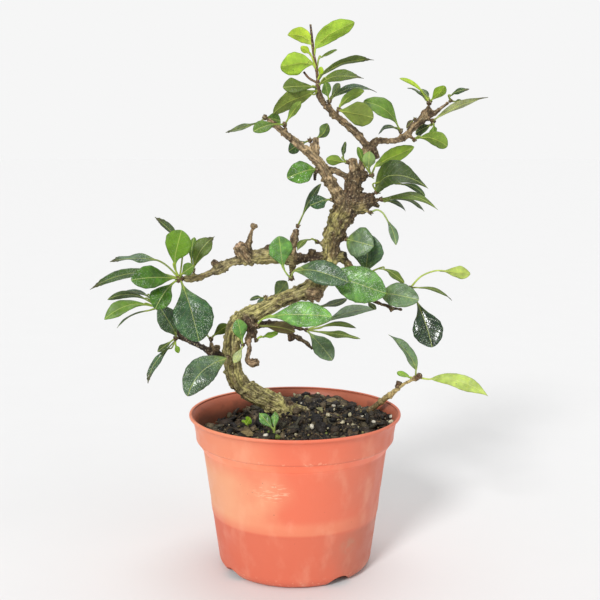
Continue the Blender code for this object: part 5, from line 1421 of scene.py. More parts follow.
BRANCHES: dict[str, Branch] = {
    "taproot": Branch(Bark.DARK, ((-7, 115, 19.5, 14), (-6, 104, 20, 13), (-5, 94, 20, 10),
        (-5, 86, 20, 6))),
    "surface_root": Branch(Bark.OLIVE, ((-12, 116, 18, 12), (-3, 112, 21, 10), (5, 110, 22.5, 7.5),
        (11, 108, 24, 5.5), (16, 105, 25, 3.5))),
    "trunk_foot": Branch(Bark.MOSSY, ((-7, 112, 20, 16), (-14, 116, 18, 15), (-22, 119.7, 15, 14.2),
        (-30, 123.7, 12, 13.6), (-37, 128.5, 9, 13.2), (-42, 135, 6, 12.8), (-44, 143, 3, 12),
        (-44.5, 152, 0, 11.6), (-44.3, 161, -2, 11.2), (-42.8, 170, -4, 11.4), (-37.5, 176.5, -4, 12.4))),
    "trunk_middle": Branch(Bark.MOSSY, ((-42.8, 170, -4, 11.4), (-37.5, 176.5, -4, 12.4),
        (-29, 180.5, -2, 12), (-20, 184.8, 0, 11), (-10, 190.3, 3, 10.4), (0, 193.7, 6, 10.6),
        (8, 197.2, 8.5, 12), (14.5, 201, 10.5, 12.6), (20, 206.5, 12, 12.6), (23, 213, 12, 12),
        (24.3, 220, 11.5, 11.6))),
    "trunk_top": Branch(Bark.UMBER, ((23, 213, 12, 12), (24.3, 220, 11.5, 11.6), (25.4, 230, 10.5, 12),
        (27.8, 238, 9, 14.4), (31, 247, 7, 16.6), (36, 256, 5, 17.5), (39, 264, 4, 13.5),
        (40, 271, 3.5, 11.6), (41, 277, 3.5, 11))),
    "old_cut": Branch(Bark.BROWN, ((6, 196.5, 8, 10.5), (12, 195.5, 6, 10.2), (18.5, 194.3, 4, 9.6))),
    "old_cut_peak": Branch(Bark.BROWN, ((8, 199, 8, 6), (9.3, 204.5, 8, 2.6))),
    "left_branch_root": Branch(Bark.DARK, ((24, 221.5, 11, 8), (17, 221, 8.5, 6.6), (11, 220.3, 6.5, 6),
        (4, 219.6, 4, 6.2), (-3, 219.3, 2, 8))),
    "left_branch": Branch(Bark.OLIVE, ((4, 219.6, 4, 5.6), (-3, 219.3, 2, 8), (-10, 220.5, 0, 9.2),
        (-19, 221.6, -2, 11), (-29, 220.5, -4, 9.8), (-37, 218.6, -5, 7.6), (-45, 217, -6, 5.6),
        (-52, 212.8, -7.5, 7.6), (-58.5, 209.7, -9.5, 4.6), (-65, 207.3, -11.5, 4.2),
        (-71, 205.8, -13, 5.2), (-76, 205.5, -14, 5))),
    "left_bump": Branch(Bark.DARK, ((-18, 224, -2, 7), (-18, 229.8, -2, 4))),
    "left_fork": Branch(Bark.BROWN, ((-32, 220, -4.5, 8), (-32.6, 228, -5, 5.6), (-31.3, 234, -5, 3.6),
        (-29.6, 239.5, -5, 2.4), (-28.6, 241.6, -5, 4), (-27.4, 243.6, -5, 3.6))),
    "left_pruned": Branch(Bark.BROWN, ((-33, 220.5, -5, 9.6), (-37, 225.5, -7, 9.2),
        (-40, 229, -8.5, 8.8))),
    "left_spur": Branch(Bark.BROWN, ((-1, 219, 2, 6.5), (-1.4, 227, 1, 5.2), (-0.6, 233, 0.5, 6.2),
        (0.6, 238, 0, 4.6), (1, 239.5, 0, 3.4))),
    "left_low_stub": Branch(Bark.DARK, ((11, 220, 6.5, 5), (12, 226, 5, 5))),
    "left_knob": Branch(Bark.DARK, ((-52, 212.5, -7.5, 5), (-55.5, 216.4, -9, 4.6),
        (-57.6, 217.4, -9.5, 3.2))),
    "trunk_left_knob": Branch(Bark.OLIVE, ((24, 228.5, 10.5, 6), (19.2, 229.8, 8.3, 5))),
    "trunk_black_stub": Branch(Bark.BLACK, ((26, 221.5, 11, 7.5), (32, 221.5, 11.5, 7.5),
        (35.6, 221.5, 11.8, 5))),
    "lower_left_branch": Branch(Bark.BLACK, ((-44.5, 149.5, 0, 5), (-51, 150.2, 3, 4.2),
        (-58, 152.6, 6, 5.4), (-64, 156, 9, 3.8), (-70, 159, 11.5, 3.5), (-76, 161.6, 13.5, 3.3),
        (-80.5, 164.5, 14.5, 3.2), (-86, 171, 13.5, 2.8), (-91.5, 177.5, 11, 2.5),
        (-94.8, 181.6, 9.3, 2.4))),
    "lower_left_curl": Branch(Bark.GREY, ((-57, 152.4, 5.5, 3.2), (-56.6, 156.4, 5, 3.2),
        (-53, 156.6, 4.5, 3))),
    "elbow_knob": Branch(Bark.DARK, ((-35, 177, -4, 13), (-31, 172.8, -8.5, 9.6))),
    "hanging_stub": Branch(Bark.DARK, ((-33, 174, -5, 8), (-30.5, 168.5, -6, 6.6),
        (-29, 165.2, -6.4, 4.6))),
    "goose_neck": Branch(Bark.BROWN, ((-31, 169, -5.5, 5), (-33, 161, -6.5, 4), (-32, 155.5, -7, 3),
        (-33.3, 150.5, -7.5, 3), (-33.4, 146.6, -8, 4), (-30, 145, -9, 5.4), (-26.5, 146.2, -10, 5.8))),
    "under_branch": Branch(Bark.DARK, ((-34, 176, -1, 7), (-27, 172.4, 5, 5.2), (-18, 173.6, 11, 4.8),
        (-9, 172.6, 16, 4.2), (-2, 171.3, 19, 3.4), (5, 169.8, 21.4, 2.8))),
    "under_twig": Branch(Bark.DARK, ((-7, 172, 17, 3.6), (-2.6, 166, 20, 4), (3.5, 162.6, 22, 3.2),
        (8.6, 159.3, 23.5, 2.8), (12.4, 155.2, 24.5, 2.2))),
    "under_twig_knob": Branch(Bark.DARK, ((-3.4, 167, 19.5, 3.6), (-2.6, 161.4, 20, 4))),
    "right_knob": Branch(Bark.UMBER, ((37, 257.5, 4.5, 15.5), (45, 258, 2.5, 15), (51.5, 259.8, 0.8, 10.4),
        (54.6, 260.2, 0, 7.6))),
    "right_knob_dead_bud": Branch(Bark.BLACK, ((52, 258, 0.5, 4), (58.6, 255.7, -1, 2.6))),
    "middle_right": Branch(Bark.DARK, ((30, 221.5, 11.4, 6.5), (36, 217, 12.6, 5), (42, 209.5, 13.4, 4.2),
        (47, 202, 13.4, 3.8), (51.5, 195, 12.4, 3.4), (56, 189.6, 11, 3), (61, 187.3, 9.6, 2.6),
        (65.4, 186, 8.6, 2.8), (68.8, 183.3, 7.8, 4.4))),
    "middle_right_tip": Branch(Bark.DARK, ((67.5, 184.6, 8, 2.6), (72, 184, 7.4, 1.8),
        (75.4, 183.6, 7, 1.8))),
    "middle_right_twig": Branch(Bark.DARK, ((49, 199, 13, 3.4), (56, 197.6, 15, 2.6),
        (64, 198.2, 16.5, 2.4), (72, 198.6, 17, 2.2), (77.6, 198.8, 16.6, 2.2))),
    "crown_left": Branch(Bark.GREY, ((36, 256, 4.5, 12), (30, 263, 1.5, 9.6), (26, 269.5, -0.8, 8.4),
        (22, 276, -3, 7.8), (18, 283.4, -6, 7), (12.5, 289.8, -9, 6), (5, 296, -12.4, 5.2),
        (-4, 303.2, -17.4, 4.8), (-13, 310.4, -22.6, 4), (-18, 314.3, -25.4, 3.6))),
    "crown_left_strand": Branch(Bark.BROWN, ((20, 281.5, -4.5, 5), (26, 280.8, -1, 4.2),
        (32.5, 277.8, 1.5, 4.2), (38, 274.5, 3, 5))),
    "crown_left_cut": Branch(Bark.GREY, ((14, 288, -8, 5.4), (14.2, 296, -7.4, 4.6), (14.2, 303, -7, 4.4))),
    "crown_left_dark_stub": Branch(Bark.BLACK, ((16, 284, -7, 3.4), (13.6, 277.4, -8, 2.4),
        (14, 273.6, -8, 1.8))),
    "crown_fork": Branch(Bark.BROWN, ((40.6, 274, 3.6, 9), (45.2, 281, 5, 6.2), (46.6, 286.4, 6, 5.2),
        (48, 291.4, 7, 5.2), (50.4, 296.6, 8.2, 6))),
    "crown_top_stub": Branch(Bark.BROWN, ((40.6, 274, 3, 7.6), (40.2, 281, 2, 6.6), (40, 288.6, 1.4, 5))),
    "crown_fork_stub": Branch(Bark.DARK, ((42, 276.5, 3.4, 7.5), (47.4, 277.2, 2, 6.8),
        (49.8, 277, 1.2, 5))),
    "crown_middle": Branch(Bark.BROWN, ((50.4, 296, 8, 5.6), (45.6, 301.4, 6, 5), (40.6, 307, 4, 5.6),
        (36, 310.8, 2.4, 4.8), (31, 314.9, 0.4, 4.6), (26.6, 318.4, -1, 4.6), (23.4, 321.6, -2.2, 4.4),
        (20.6, 324.8, -3.2, 4.2))),
    "crown_middle_knob": Branch(Bark.BROWN, ((41, 306.6, 4, 4.4), (39.2, 310, 4, 3))),
    "crown_right": Branch(Bark.BROWN, ((50, 295.6, 8, 5.6), (54, 299.4, 10, 4.8), (59, 300.6, 12, 4.4),
        (66, 300.4, 14.6, 4.2), (72, 301.6, 17, 4.4), (76.4, 304.4, 18.4, 5), (80, 309, 19.4, 5.4),
        (84.4, 313, 20.4, 6), (88.6, 316.8, 21.4, 6.6), (90.4, 320.2, 22, 5.6), (91, 322.6, 22, 4))),
    "crown_right_dark_knob": Branch(Bark.DARK, ((52.6, 298, 9.4, 4.8), (56.6, 288.4, 8, 4.6))),
    "crown_right_prong": Branch(Bark.BROWN, ((88.6, 315.6, 21, 4.4), (95, 319.2, 19.6, 3.4),
        (100, 323, 18, 2.6), (104, 326, 16.8, 2))),
}


@dataclass
class Wood:
    """The tree's wood: every branch, spur and knob grown into one skin with bark."""

    finish: Material
    corners: int = 22
    steps: int = 5
    voxel: float = 0.66
    knob_spacing: float = 1.3
    knob_size: float = 1.7
    least_knob: float = 0.6
    knob_shares: tuple[float, float] = (0.28, 0.62)
    knob_sunk: float = 0.2
    knob_corners: int = 9
    spur_taper: float = 0.7
    spur_corners: int = 12
    seed: int = 11
    gap: float = 0.3
    inset: float = 0.3
    cut_end: Reading = (-41.4, 231.2, -9.4)
    cut_reach: float = 4.6
    cut_tan: Rgb = (232, 190, 160)
    lichen_and_painted_light: Rgb = (226, 212, 132)
    crack_width: float = 0.11
    fine_crack_width: float = 0.15
    thick_wood: float = 4.5
    blending_rounds: int = 14
    block: int = 4000

    def limb(self, path: Array, number: int) -> Surface:
        """Make a branch: a tube with soft lumps that run on from station to station."""
        angles = around(self.corners)
        walk = np.arange(len(path))[:, None]
        lumps = 0.05 * np.sin(0.9 * walk + 2 * angles + number) + 0.04 * np.sin(0.5 * walk - 3 * angles)
        radii = path[:, 3:] / 2 * (1 + lumps)
        return tube(path[:, :3], radii, self.corners, np.zeros(3))

    def knobs(self, path: Array, draw: np.random.Generator) -> list[Surface]:
        """Strew knobs over a branch: small balls set halfway into its side."""
        count = int(stretches(path).sum() / self.knob_spacing)
        if count < 2:
            return []
        sides, others = carried_sides(path[:, :3])
        made = []
        for place in draw.integers(1, len(path) - 1, count):
            angle = draw.uniform(0, math.tau)
            radius = path[place, 3] / 2
            size = min(max(radius * draw.uniform(*self.knob_shares), self.least_knob), self.knob_size)
            out = sides[place] * math.cos(angle) + others[place] * math.sin(angle)
            middle = path[place, :3] + out * (radius - size * self.knob_sunk)
            turn = np.linspace(0.06, 0.94, 6) * math.pi
            line = middle - out * (np.cos(turn) * size)[:, None]
            made.append(tube(line, np.sin(turn) * size, self.knob_corners, np.zeros(3)))
        return made

    def spur(self, spray: Spray) -> Surface:
        """Make the spur under a spray, slimmer towards its end just short of the bud."""
        hub, foot = VIEW.at(spray.hub), VIEW.at(spray.foot)
        end = hub - unit(hub - foot) * (spray.size / 2 + self.gap)
        size = min(spray.foot_size, spray.size * self.spur_taper)
        path = flow(np.array([[*foot, spray.foot_size], [*end, size]]), 4)
        return tube(path[:, :3], path[:, 3] / 2, self.spur_corners, np.zeros(3))

    def grown_together(self, surfaces: list[Surface]) -> Piece:
        """Join overlapping skins into one even mesh by a voxel remesh, and return it."""
        wood = make_piece("wood_bark", surfaces, [self.finish], "bark", "wood")
        remesh = wood.modifiers.new("grow_together", "REMESH")
        remesh.mode = "VOXEL"
        remesh.voxel_size = self.voxel * MM
        remesh.use_smooth_shade = True
        settle(wood, self.finish)
        return wood

    def nearest(self, points: Array, paths: list[Array]) -> tuple[Array, Array, Array, Array]:
        """Find for each point the branch whose bark is nearest.

        Args:
            points: The points of the wood's skin.
            paths: The branches' paths.

        Returns:
            For each point the branch's number, the length along it, the two coordinates
            across it, and its radius there.
        """
        starts = np.concatenate([path[:-1] for path in paths])
        ends = np.concatenate([path[1:] for path in paths])
        owner = np.repeat(np.arange(len(paths)), [len(path) - 1 for path in paths])
        carried = np.concatenate([np.hstack(carried_sides(path[:, :3]))[:-1] for path in paths])
        sides, others = carried[:, :3], carried[:, 3:]
        lengths = np.linalg.norm(ends[:, :3] - starts[:, :3], axis=1)
        begin = np.concatenate([np.cumsum([0, *stretches(path)[:-1]]) for path in paths])
        ways = (ends[:, :3] - starts[:, :3]) / np.maximum(lengths, 1e-9)[:, None]
        chosen = np.empty(len(points), int)
        for low in range(0, len(points), self.block):
            block = points[low:low + self.block, None] - starts[None, :, :3]
            share = np.clip((block * ways).sum(-1) / np.maximum(lengths, 1e-9), 0, 1)
            away = np.linalg.norm(block - ways * (share * lengths)[..., None], axis=-1)
            radius = (starts[:, 3] + (ends[:, 3] - starts[:, 3]) * share) / 2
            chosen[low:low + self.block] = np.argmin(away - radius, axis=1)
        offset = points - starts[chosen, :3]
        along = begin[chosen] + (offset * ways[chosen]).sum(-1)
        across = np.stack([(offset * sides[chosen]).sum(-1), (offset * others[chosen]).sum(-1)], axis=1)
        return owner[chosen], along, across, starts[chosen, 3] / 2

    def smoothed(self, mesh: Mesh, values: Array, rounds: int) -> Array:
        """Blend values over the mesh: each round takes the mean with the joined points."""
        edges = np.empty(len(mesh.edges) * 2, np.int32)
        mesh.edges.foreach_get("vertices", edges)
        first, second = edges.reshape(-1, 2).T
        joined = np.bincount(edges, minlength=len(values))[:, None]
        for _ in range(rounds):
            total = np.zeros_like(values)
            for column in range(values.shape[1]):
                total[:, column] = np.bincount(first, values[second, column], len(values))
                total[:, column] += np.bincount(second, values[first, column], len(values))
            values = (values + total) / (1 + joined)
        return values

    def relief(self, points: Array, owner: Array, along: Array, across: Array,
               moss: Array) -> tuple[Array, Array]:
        """Work out the bark's relief.

        Long cracks lie where noise that is stretched along the branch passes zero: crack =
        exp(-(noise / width)^2).

        Args:
            points: The skin's points.
            owner: The number of each point's branch.
            along: The length along that branch.
            across: The two coordinates across it.
            moss: How mossy the bark is.

        Returns:
            How far each point moves outwards, as lumps + ridges - cracks, and how dark it
            is, from the cracks and from painted shade where lumps and pits sink in.
        """
        first = noise(np.column_stack([along * 0.055 + owner * 7.3, across * 0.6]), 3)
        second = noise(np.column_stack([along * 0.13 + owner * 3.1, across * 1.1]), 8)
        crack = np.exp(-(first / self.crack_width) ** 2)
        fine_crack = np.exp(-(second / self.fine_crack_width) ** 2)
        lumps = layered_noise(points * 0.2, 3, 21)
        pits = layered_noise(points * 0.5, 3, 31)
        rough = layered_noise(points * 0.9, 2, 61)
        rings = np.clip(noise(np.column_stack([along * 0.55 + owner * 5.7, across * 0.08]), 44), 0, 1)
        knobby = np.clip(1.2 - moss, 0.2, 1.0)
        move = 0.5 * lumps + 0.5 * pits * knobby + 0.7 * rings * knobby + 0.2 * rough
        move += 0.35 * np.abs(second) + 0.8 * np.abs(first) * moss - self.inset
        move -= (0.15 + 0.4 * moss) * crack + 0.2 * fine_crack
        # Darkness: the cracks, and painted shade where lumps, pits and roughness sink in.
        depth = 0.6 * crack * moss + 0.5 * fine_crack - 0.6 * lumps - 0.5 * pits * knobby - 0.3 * rough
        return move, np.clip(depth - 0.05, 0, 1)

    def sunlit(self, points: Array, normals: Array) -> Array:
        """Return the painted light on the trunk's top: where it faces left, it is tinted pale yellow."""
        left = fade(-normals[:, 0], -0.5, 0.3) * fade(points[:, 2], 205, 222)
        return left * fade(-points[:, 2], -262, -245) * fade(points[:, 0], 17, 21)

    def add_bark(self, wood: Piece, paths: list[Array], barks: list[Bark]) -> None:
        """Push the skin in and out into bark, less on thin wood, and store what its finish reads.

        Args:
            wood: The wood's mesh object.
            paths: The branches' paths.
            barks: The bark of each branch.
        """
        mesh = wood.data
        points = rows_of(mesh.vertices, "co") / MM
        normals = rows_of(mesh.vertex_normals, "vector")
        owner, along, across, radius = self.nearest(points, paths)
        tints = np.array([linear(bark.value[0]) for bark in barks])[owner]
        moss = np.array([bark.value[1] for bark in barks])[owner]
        shade = self.smoothed(mesh, np.column_stack([tints, moss, radius]), self.blending_rounds)
        tints, moss, radius = shade[:, :3], shade[:, 3], shade[:, 4]
        move, depth = self.relief(points, owner, along, across, moss)
        points += normals * (move * np.clip(radius / self.thick_wood, 0.4, 1.0))[:, None]
        # Painted light: the left-facing side of the trunk's top is tinted pale yellow.
        lit = self.sunlit(points, normals)
        tints = tints * (1 - 0.85 * lit[:, None]) + linear(self.lichen_and_painted_light) * 0.85 * lit[:, None]
        cut = np.linalg.norm(points - VIEW.at(self.cut_end), axis=1)
        cut = (0.85 * (1 - fade(cut, self.cut_reach * 0.7, self.cut_reach)))[:, None]
        mesh.vertices.foreach_set("co", (points * MM).astype(np.float32).ravel())
        store(mesh, "tint", tints * (1 - cut) + linear(self.cut_tan) * cut)
        store(mesh, "grain", np.column_stack([along * 0.1 + owner * 11.0, across]) * MM, "FLOAT_VECTOR")
        # The painted light also raises the moss value, so more lichen shows there.
        store(mesh, "moss", moss + lit * 0.6)
        store(mesh, "crack_and_hollow_shade", depth * (1 - cut[:, 0]))
        mesh.update()

    def build(self) -> Piece:
        """Grow the wood and return it."""
        draw = np.random.default_rng(self.seed)
        paths = [smooth_path(branch.stations, self.steps) for branch in BRANCHES.values()]
        barks = [branch.bark for branch in BRANCHES.values()]
        surfaces = [self.limb(path, number) for number, path in enumerate(paths)]
        for path in paths:
            surfaces += self.knobs(path, draw)
        surfaces += [self.spur(spray) for spray in SPRAYS.values()]
        wood = self.grown_together(surfaces)
        blank = wood.data.attributes.get("tint")
        if blank:
            wood.data.attributes.remove(blank)
        self.add_bark(wood, paths, barks)
        return wood


# Pot and mix


@dataclass
class Pot:
    """The nursery pot: a turned shell with a flared lip, a stepped collar and foot slots."""

    finish: Material
    height: float = 110.6
    rim_radius: float = 75.0
    foot_radius: float = 48.0
    wall: float = 1.5
    floor: float = 1.6
    body_low: float = 54.9
    foot_rounding: float = 8.0
    step_bottom: tuple[float, float] = (65.3, 85.5)
    step_knots: Stations = (
        (65.2, 84.9), (65.5, 85.7), (66.4, 87.0), (68.6, 90.4), (69.4, 91.4), (70.0, 92.2),
        (70.2, 93.2), (70.5, 97), (71.3, 102.0),
    )
    lip_knots: Stations = (
        (72.1, 105.2), (73.3, 107.4), (74.7, 108.6), (75, 109.5), (74.7, 110.4), (74, 110.6),
    )
    segments: int = 160
    slot_angles: tuple[float, ...] = (-55.0, 35.0, 125.0, 215.0)
    slot_radius: float = 12.0
    slot_reach: tuple[float, float] = (45.0, 60.0)
    slot_drop: float = 6.0
    drain_ring: float = 27.0
    drain_radius: float = 4.0
    drain_count: int = 6
    cutter_corners: int = 40
    wobble: tuple[float, float] = (0.0016, 0.001)
    sharp_degrees: float = 38.0

    def outer(self) -> Array:
        """Return the outer profile, foot to lip, as rows of radius and height.

        The foot's edge is a quarter round, the step's corners are rounded by a smooth path,
        and a faint swelling marks the water line.
        """
        angle = np.linspace(0, math.pi / 2, 9)
        arc = np.column_stack([
            self.foot_radius + (self.body_low - self.foot_radius) * np.sin(angle),
            self.foot_rounding * (1 - np.cos(angle))])
        z = np.linspace(self.foot_rounding + 2, self.step_bottom[1] - 3, 34)
        share = (z - self.foot_rounding) / (self.step_bottom[1] - self.foot_rounding)
        swell = 0.28 * fade(z, 38.5, 41) * (1 - fade(z, 44, 50))
        radius = self.body_low + (self.step_bottom[0] - self.body_low) * share + swell
        body = np.column_stack([radius, z])
        step = flow(np.array([body[-1], *self.step_knots]), 4)[1:]
        lip = flow(np.array([step[-1], *self.lip_knots]), 4)[1:]
        return np.vstack([arc, body, step, lip])

    def radius_at(self, z: Array) -> Array:
        """Return the outer wall's radius at heights."""
        outer = self.outer()
        return np.interp(z, outer[:, 1], outer[:, 0])

    def inner(self, outer: Array) -> Array:
        """Return the inner profile, lip to floor: the outer one set in by the wall."""
        way = unit(np.gradient(outer, axis=0))
        inward = outer + np.column_stack([-way[:, 1], way[:, 0]]) * self.wall
        keep = (outer[:, 1] > self.foot_rounding + 1) & (outer[:, 1] < self.height - 2.5)
        low = np.array([[self.body_low - self.wall - 0.6, self.foot_rounding - 1.5],
                        [self.foot_radius - self.wall - 1, self.floor]])
        return np.vstack([[self.rim_radius - self.wall - 0.6, self.height - 0.5], inward[keep][::-1], low])

    def shell(self) -> Surface:
        """Turn the profile round the axis: (r * cos(a), r * sin(a), z), closed at both poles."""
        outer = self.outer()
        profile = np.vstack([[0.4, 0.0], outer, self.inner(outer), [0.4, self.floor]])
        angles = around(self.segments)
        wobble = 1 + self.wobble[0] * np.sin(2 * angles + 0.6) + self.wobble[1] * np.sin(5 * angles)
        radius = profile[:, :1] * np.where(profile[:, 1:] > 8, wobble, 1.0)
        rings = np.stack([radius * np.cos(angles), radius * np.sin(angles),
                          np.broadcast_to(profile[:, 1:], radius.shape)], axis=-1)
        return skin(rings)

    def cutters(self) -> list[Piece]:
        """Make the bars that cut the drain slots in the foot and the holes in the floor."""
        bars = []
        for degrees in self.slot_angles:
            way = heading(math.radians(degrees - 90))
            bars.append((np.outer(self.slot_reach, way) - [0, 0, self.slot_drop], self.slot_radius))
        for number in range(self.drain_count):
            middle = heading(math.tau * (number + 0.5) / self.drain_count) * self.drain_ring
            bars.append((middle + [[0, 0, -self.floor * 2], [0, 0, self.floor * 2]], self.drain_radius))
        made = []
        for line, radius in bars:
            bar = tube(line, np.full(2, radius), self.cutter_corners, np.zeros(3))
            mesh = bpy.data.meshes.new("cutter")
            mesh.from_pydata(bar.points * MM, [], [face for group in bar.faces for face in group.tolist()])
            made.append(bpy.data.objects.new("cutter", mesh))
        return made

    def build(self) -> Piece:
        """Turn the pot, cut its slots and holes, and return it."""
        pot = make_piece("pot_shell", [self.shell()], [self.finish], "pot", "pot")
        group = bpy.data.collections.new("pot_cutters")
        bpy.context.scene.collection.children.link(group)
        cutters = self.cutters()
        for cutter in cutters:
            group.objects.link(cutter)
        cut = pot.modifiers.new("slots", "BOOLEAN")
        cut.operation = "DIFFERENCE"
        cut.operand_type = "COLLECTION"
        cut.collection = group
        cut.solver = "EXACT"
        mesh = settle(pot, self.finish)
        for cutter in cutters:
            bpy.data.objects.remove(cutter)
        bpy.data.collections.remove(group)
        mesh.shade_smooth()
        mesh.set_sharp_from_angle(angle=math.radians(self.sharp_degrees))
        self.mark_inside(mesh)
        return pot

    def mark_inside(self, mesh: Mesh) -> None:
        """Store at each point whether it lies on the inner wall or floor."""
        x, y, z = rows_of(mesh.vertices, "co").T / MM
        inner = self.radius_at(z) - self.wall * 0.6
        store(mesh, "inside", (np.hypot(x, y) < inner) & (z > 0.5))


@dataclass(frozen=True)
class Litter:
    """One kind of loose bits: how many, their least and greatest size, their colours and form.

    thin is the share that is left of the thickness, and bits under 1 lie nearly flat. lift is
    how far their middles stand over the mix, as a share of their size. Bits with places lie
    there, one at each, and others lie anywhere.
    """

    low: float
    high: float
    tints: tuple[Rgb, ...]
    count: int = 0
    subdivisions: int = 1
    thin: float = 1.0
    lift: float = 0.12
    places: tuple[tuple[float, float], ...] = ()


COARSE = ((22, 18, 16), (34, 28, 24), (58, 50, 38), (18, 15, 14), (82, 72, 50))
FINE = ((26, 21, 18), (38, 31, 26), (64, 50, 38), (30, 26, 24), (92, 74, 54), (20, 17, 16))
BARK_CHIPS = ((66, 54, 42), (44, 37, 31), (98, 84, 62), (34, 29, 26), (124, 108, 80), (78, 74, 58))
LITTER = (
    Litter(4.0, 8.0, COARSE, 70, subdivisions=2),
    Litter(3.0, 7.0, COARSE, 240),
    Litter(0.8, 3.0, FINE, 2600),
    Litter(4.0, 14.0, BARK_CHIPS, 340, thin=0.2),
    Litter(2.2, 5.0, ((232, 226, 206), (216, 206, 172), (204, 196, 158)), subdivisions=2, lift=0.5, places=(
        (0, 66), (3, 62), (21, 60), (18, 63), (29, 35), (66, 18), (70, 8), (68, -6), (64, 2), (5, 30),
        (9, 34), (-12, -14), (-8, -22), (34, -2), (40, 14), (24, 8), (-46, 4), (54, 40), (50, 44), (12, -6),
        (58, 26), (44, -12), (-20, -30), (2, -40), (30, -32), (14, 50), (-30, -20), (62, -14), (36, 30),
        (46, 22), (28, 20), (52, 14), (56, -2), (48, 8),
    )),
    Litter(2.4, 4.4, ((150, 158, 62), (120, 132, 56)), subdivisions=2, lift=0.5, places=(
        (-23.6, -10), (-18.6, -14), (-27, -6), (30.6, 14), (-40, -22), (-12, -30), (22, -16),
    )),
    Litter(0.6, 2.4, ((206, 196, 160), (166, 152, 110), (144, 134, 86), (120, 104, 70)), 520, lift=0.7),
)


@dataclass
class Mix:
    """The potting mix that fills the pot, with loose bits strewn over it."""

    pot: Pot
    mix_finish: Material
    grit_finish: Material
    maker: LeafMaker
    level: float = 97.5
    gap: float = 0.35
    lump_height: float = 1.9
    crumb_height: float = 1.4
    settled: float = 0.5
    mounds: Stations = (
        (15.0, 56.0, 7.5, 26.0), (-4.0, 20.0, 6.0, 15.0), (62.0, 6.0, 6.0, 17.0),
        (-54.0, 28.0, -6.0, 22.0), (38.0, 25.0, 2.5, 14.0),
    )
    segments: int = 200
    rings: int = 62
    buried_profile: tuple[tuple[float, float], ...] = ((52.5, 9), (58, 40), (63.2, 84))
    seed: int = 5
    strewn_radius: float = 68.5
    twig_count: int = 90
    twig_radius: float = 64.0
    twig_limit: float = 67.0
    twig_brown: Rgb = (128, 106, 76)
    dead_browns: tuple[Rgb, ...] = ((140, 122, 80), (104, 84, 58), (134, 130, 86))
    dead_leaf_places: Stations = (
        (-33, -20, 15), (-46, -8, 12), (30, -36, 17), (40, -24, 14), (20, -44, 12), (8, -50, 10),
        (46, 30, 12), (-22, -38, 9), (30, 46, 15), (10, 58, 13), (52, 6, 10), (-8, -56, 10),
        (-40, 26, 12), (18, 22, 9), (-56, -14, 10), (34, 56, 12),
    )

    def height(self, x: Array, y: Array) -> Array:
        """Return the mix's height: level + the sum of rise * exp(-distance^2 / 2 spread^2)."""
        total = np.full(np.shape(x), self.level)
        for mound_x, mound_y, rise, spread in self.mounds:
            total = total + rise * np.exp(-((x - mound_x) ** 2 + (y - mound_y) ** 2) / (2 * spread ** 2))
        return total

    def rough_height(self, x: Array, y: Array) -> Array:
        """Return the height with lumps and crumbs added by noise."""
        flat = np.column_stack([np.ravel(x), np.ravel(y), np.zeros(np.size(x))])
        lumps = layered_noise(flat * 0.15, 5, 40) * self.lump_height
        lumps = lumps + np.abs(noise(flat * 0.4, 50)) * self.crumb_height
        return self.height(x, y) + lumps.reshape(np.shape(x)) - self.settled

    def body(self) -> Surface:
        """Make the mix as one closed turned skin whose top is the rough height."""
        angles = around(self.segments)
        inset = self.pot.wall + self.gap
        floor = self.pot.floor + self.gap
        rows = []
        for radius, z in ((0.4, floor), (self.pot.foot_radius - 4, floor), *self.buried_profile):
            rows.append(np.stack([radius * np.cos(angles), radius * np.sin(angles),
                                  np.full_like(angles, z)], axis=-1))
        edge = self.pot.radius_at(self.level - 2) - inset
        for radius in np.linspace(edge, 0.4, self.rings):
            x, y = radius * np.cos(angles), radius * np.sin(angles)
            top = self.rough_height(x, y)
            wall = self.pot.radius_at(top) - inset
            reach = np.minimum(radius, wall) / radius
            rows.append(np.stack([x * reach, y * reach, top], axis=-1))
        return skin(np.array(rows))

    def strewn(self, litter: Litter, draw: np.random.Generator) -> Surface:
        """Strew one kind of bits: turned, stretched and dented copies of one small ball.

        Args:
            litter: Which bits.
            draw: The seeded draw.

        Returns:
            All of them as one surface.
        """
        shape = bmesh.new()
        bmesh.ops.create_icosphere(shape, subdivisions=litter.subdivisions, radius=1.0)
        shape.verts.index_update()
        ball = np.array([vertex.co for vertex in shape.verts])
        faces = np.array([[vertex.index for vertex in face.verts] for face in shape.faces])
        shape.free()
        places = np.array(litter.places, float)
        count = len(places) or litter.count
        if not litter.places:
            angle = draw.uniform(0, math.tau, count)
            radius = self.strewn_radius * np.sqrt(draw.uniform(0.0, 1.0, count))
            places = np.column_stack([radius * np.cos(angle), radius * np.sin(angle)])
        sizes = draw.uniform(0, 1, count) ** 2 * (litter.high - litter.low) + litter.low
        stretch = sizes[:, None] * draw.uniform(0.55, 1.25, (count, 3)) / 2
        turns, _ = np.linalg.qr(draw.normal(size=(count, 3, 3)))
        turns = turns * np.sign(np.linalg.det(turns))[:, None, None]
        if litter.thin < 1:
            stretch[:, 2] *= litter.thin
            ups = unit(0.4 * draw.normal(size=(count, 3)) + np.array([0, -0.2, 1]))
            sides = unit(np.cross(ups, draw.normal(size=(count, 3))))
            turns = np.stack([sides, np.cross(ups, sides), ups], axis=2)
        dents = draw.uniform(0.75, 1.2, (count, len(ball), 1))
        lumps = np.einsum("nij,nkj->nki", turns, ball[None] * dents * stretch[:, None, :])
        ground = self.rough_height(places[:, 0], places[:, 1]) + sizes * litter.lift
        lumps += np.column_stack([places, ground])[:, None, :]
        corners = faces[None] + (np.arange(count) * len(ball))[:, None, None]
        tints = np.array([linear(tint) for tint in litter.tints])
        chosen = tints[draw.integers(0, len(tints), count)]
        tint = np.repeat(chosen, len(ball), axis=0)
        return Surface(lumps.reshape(-1, 3), [corners.reshape(-1, 3)], {"tint": tint})

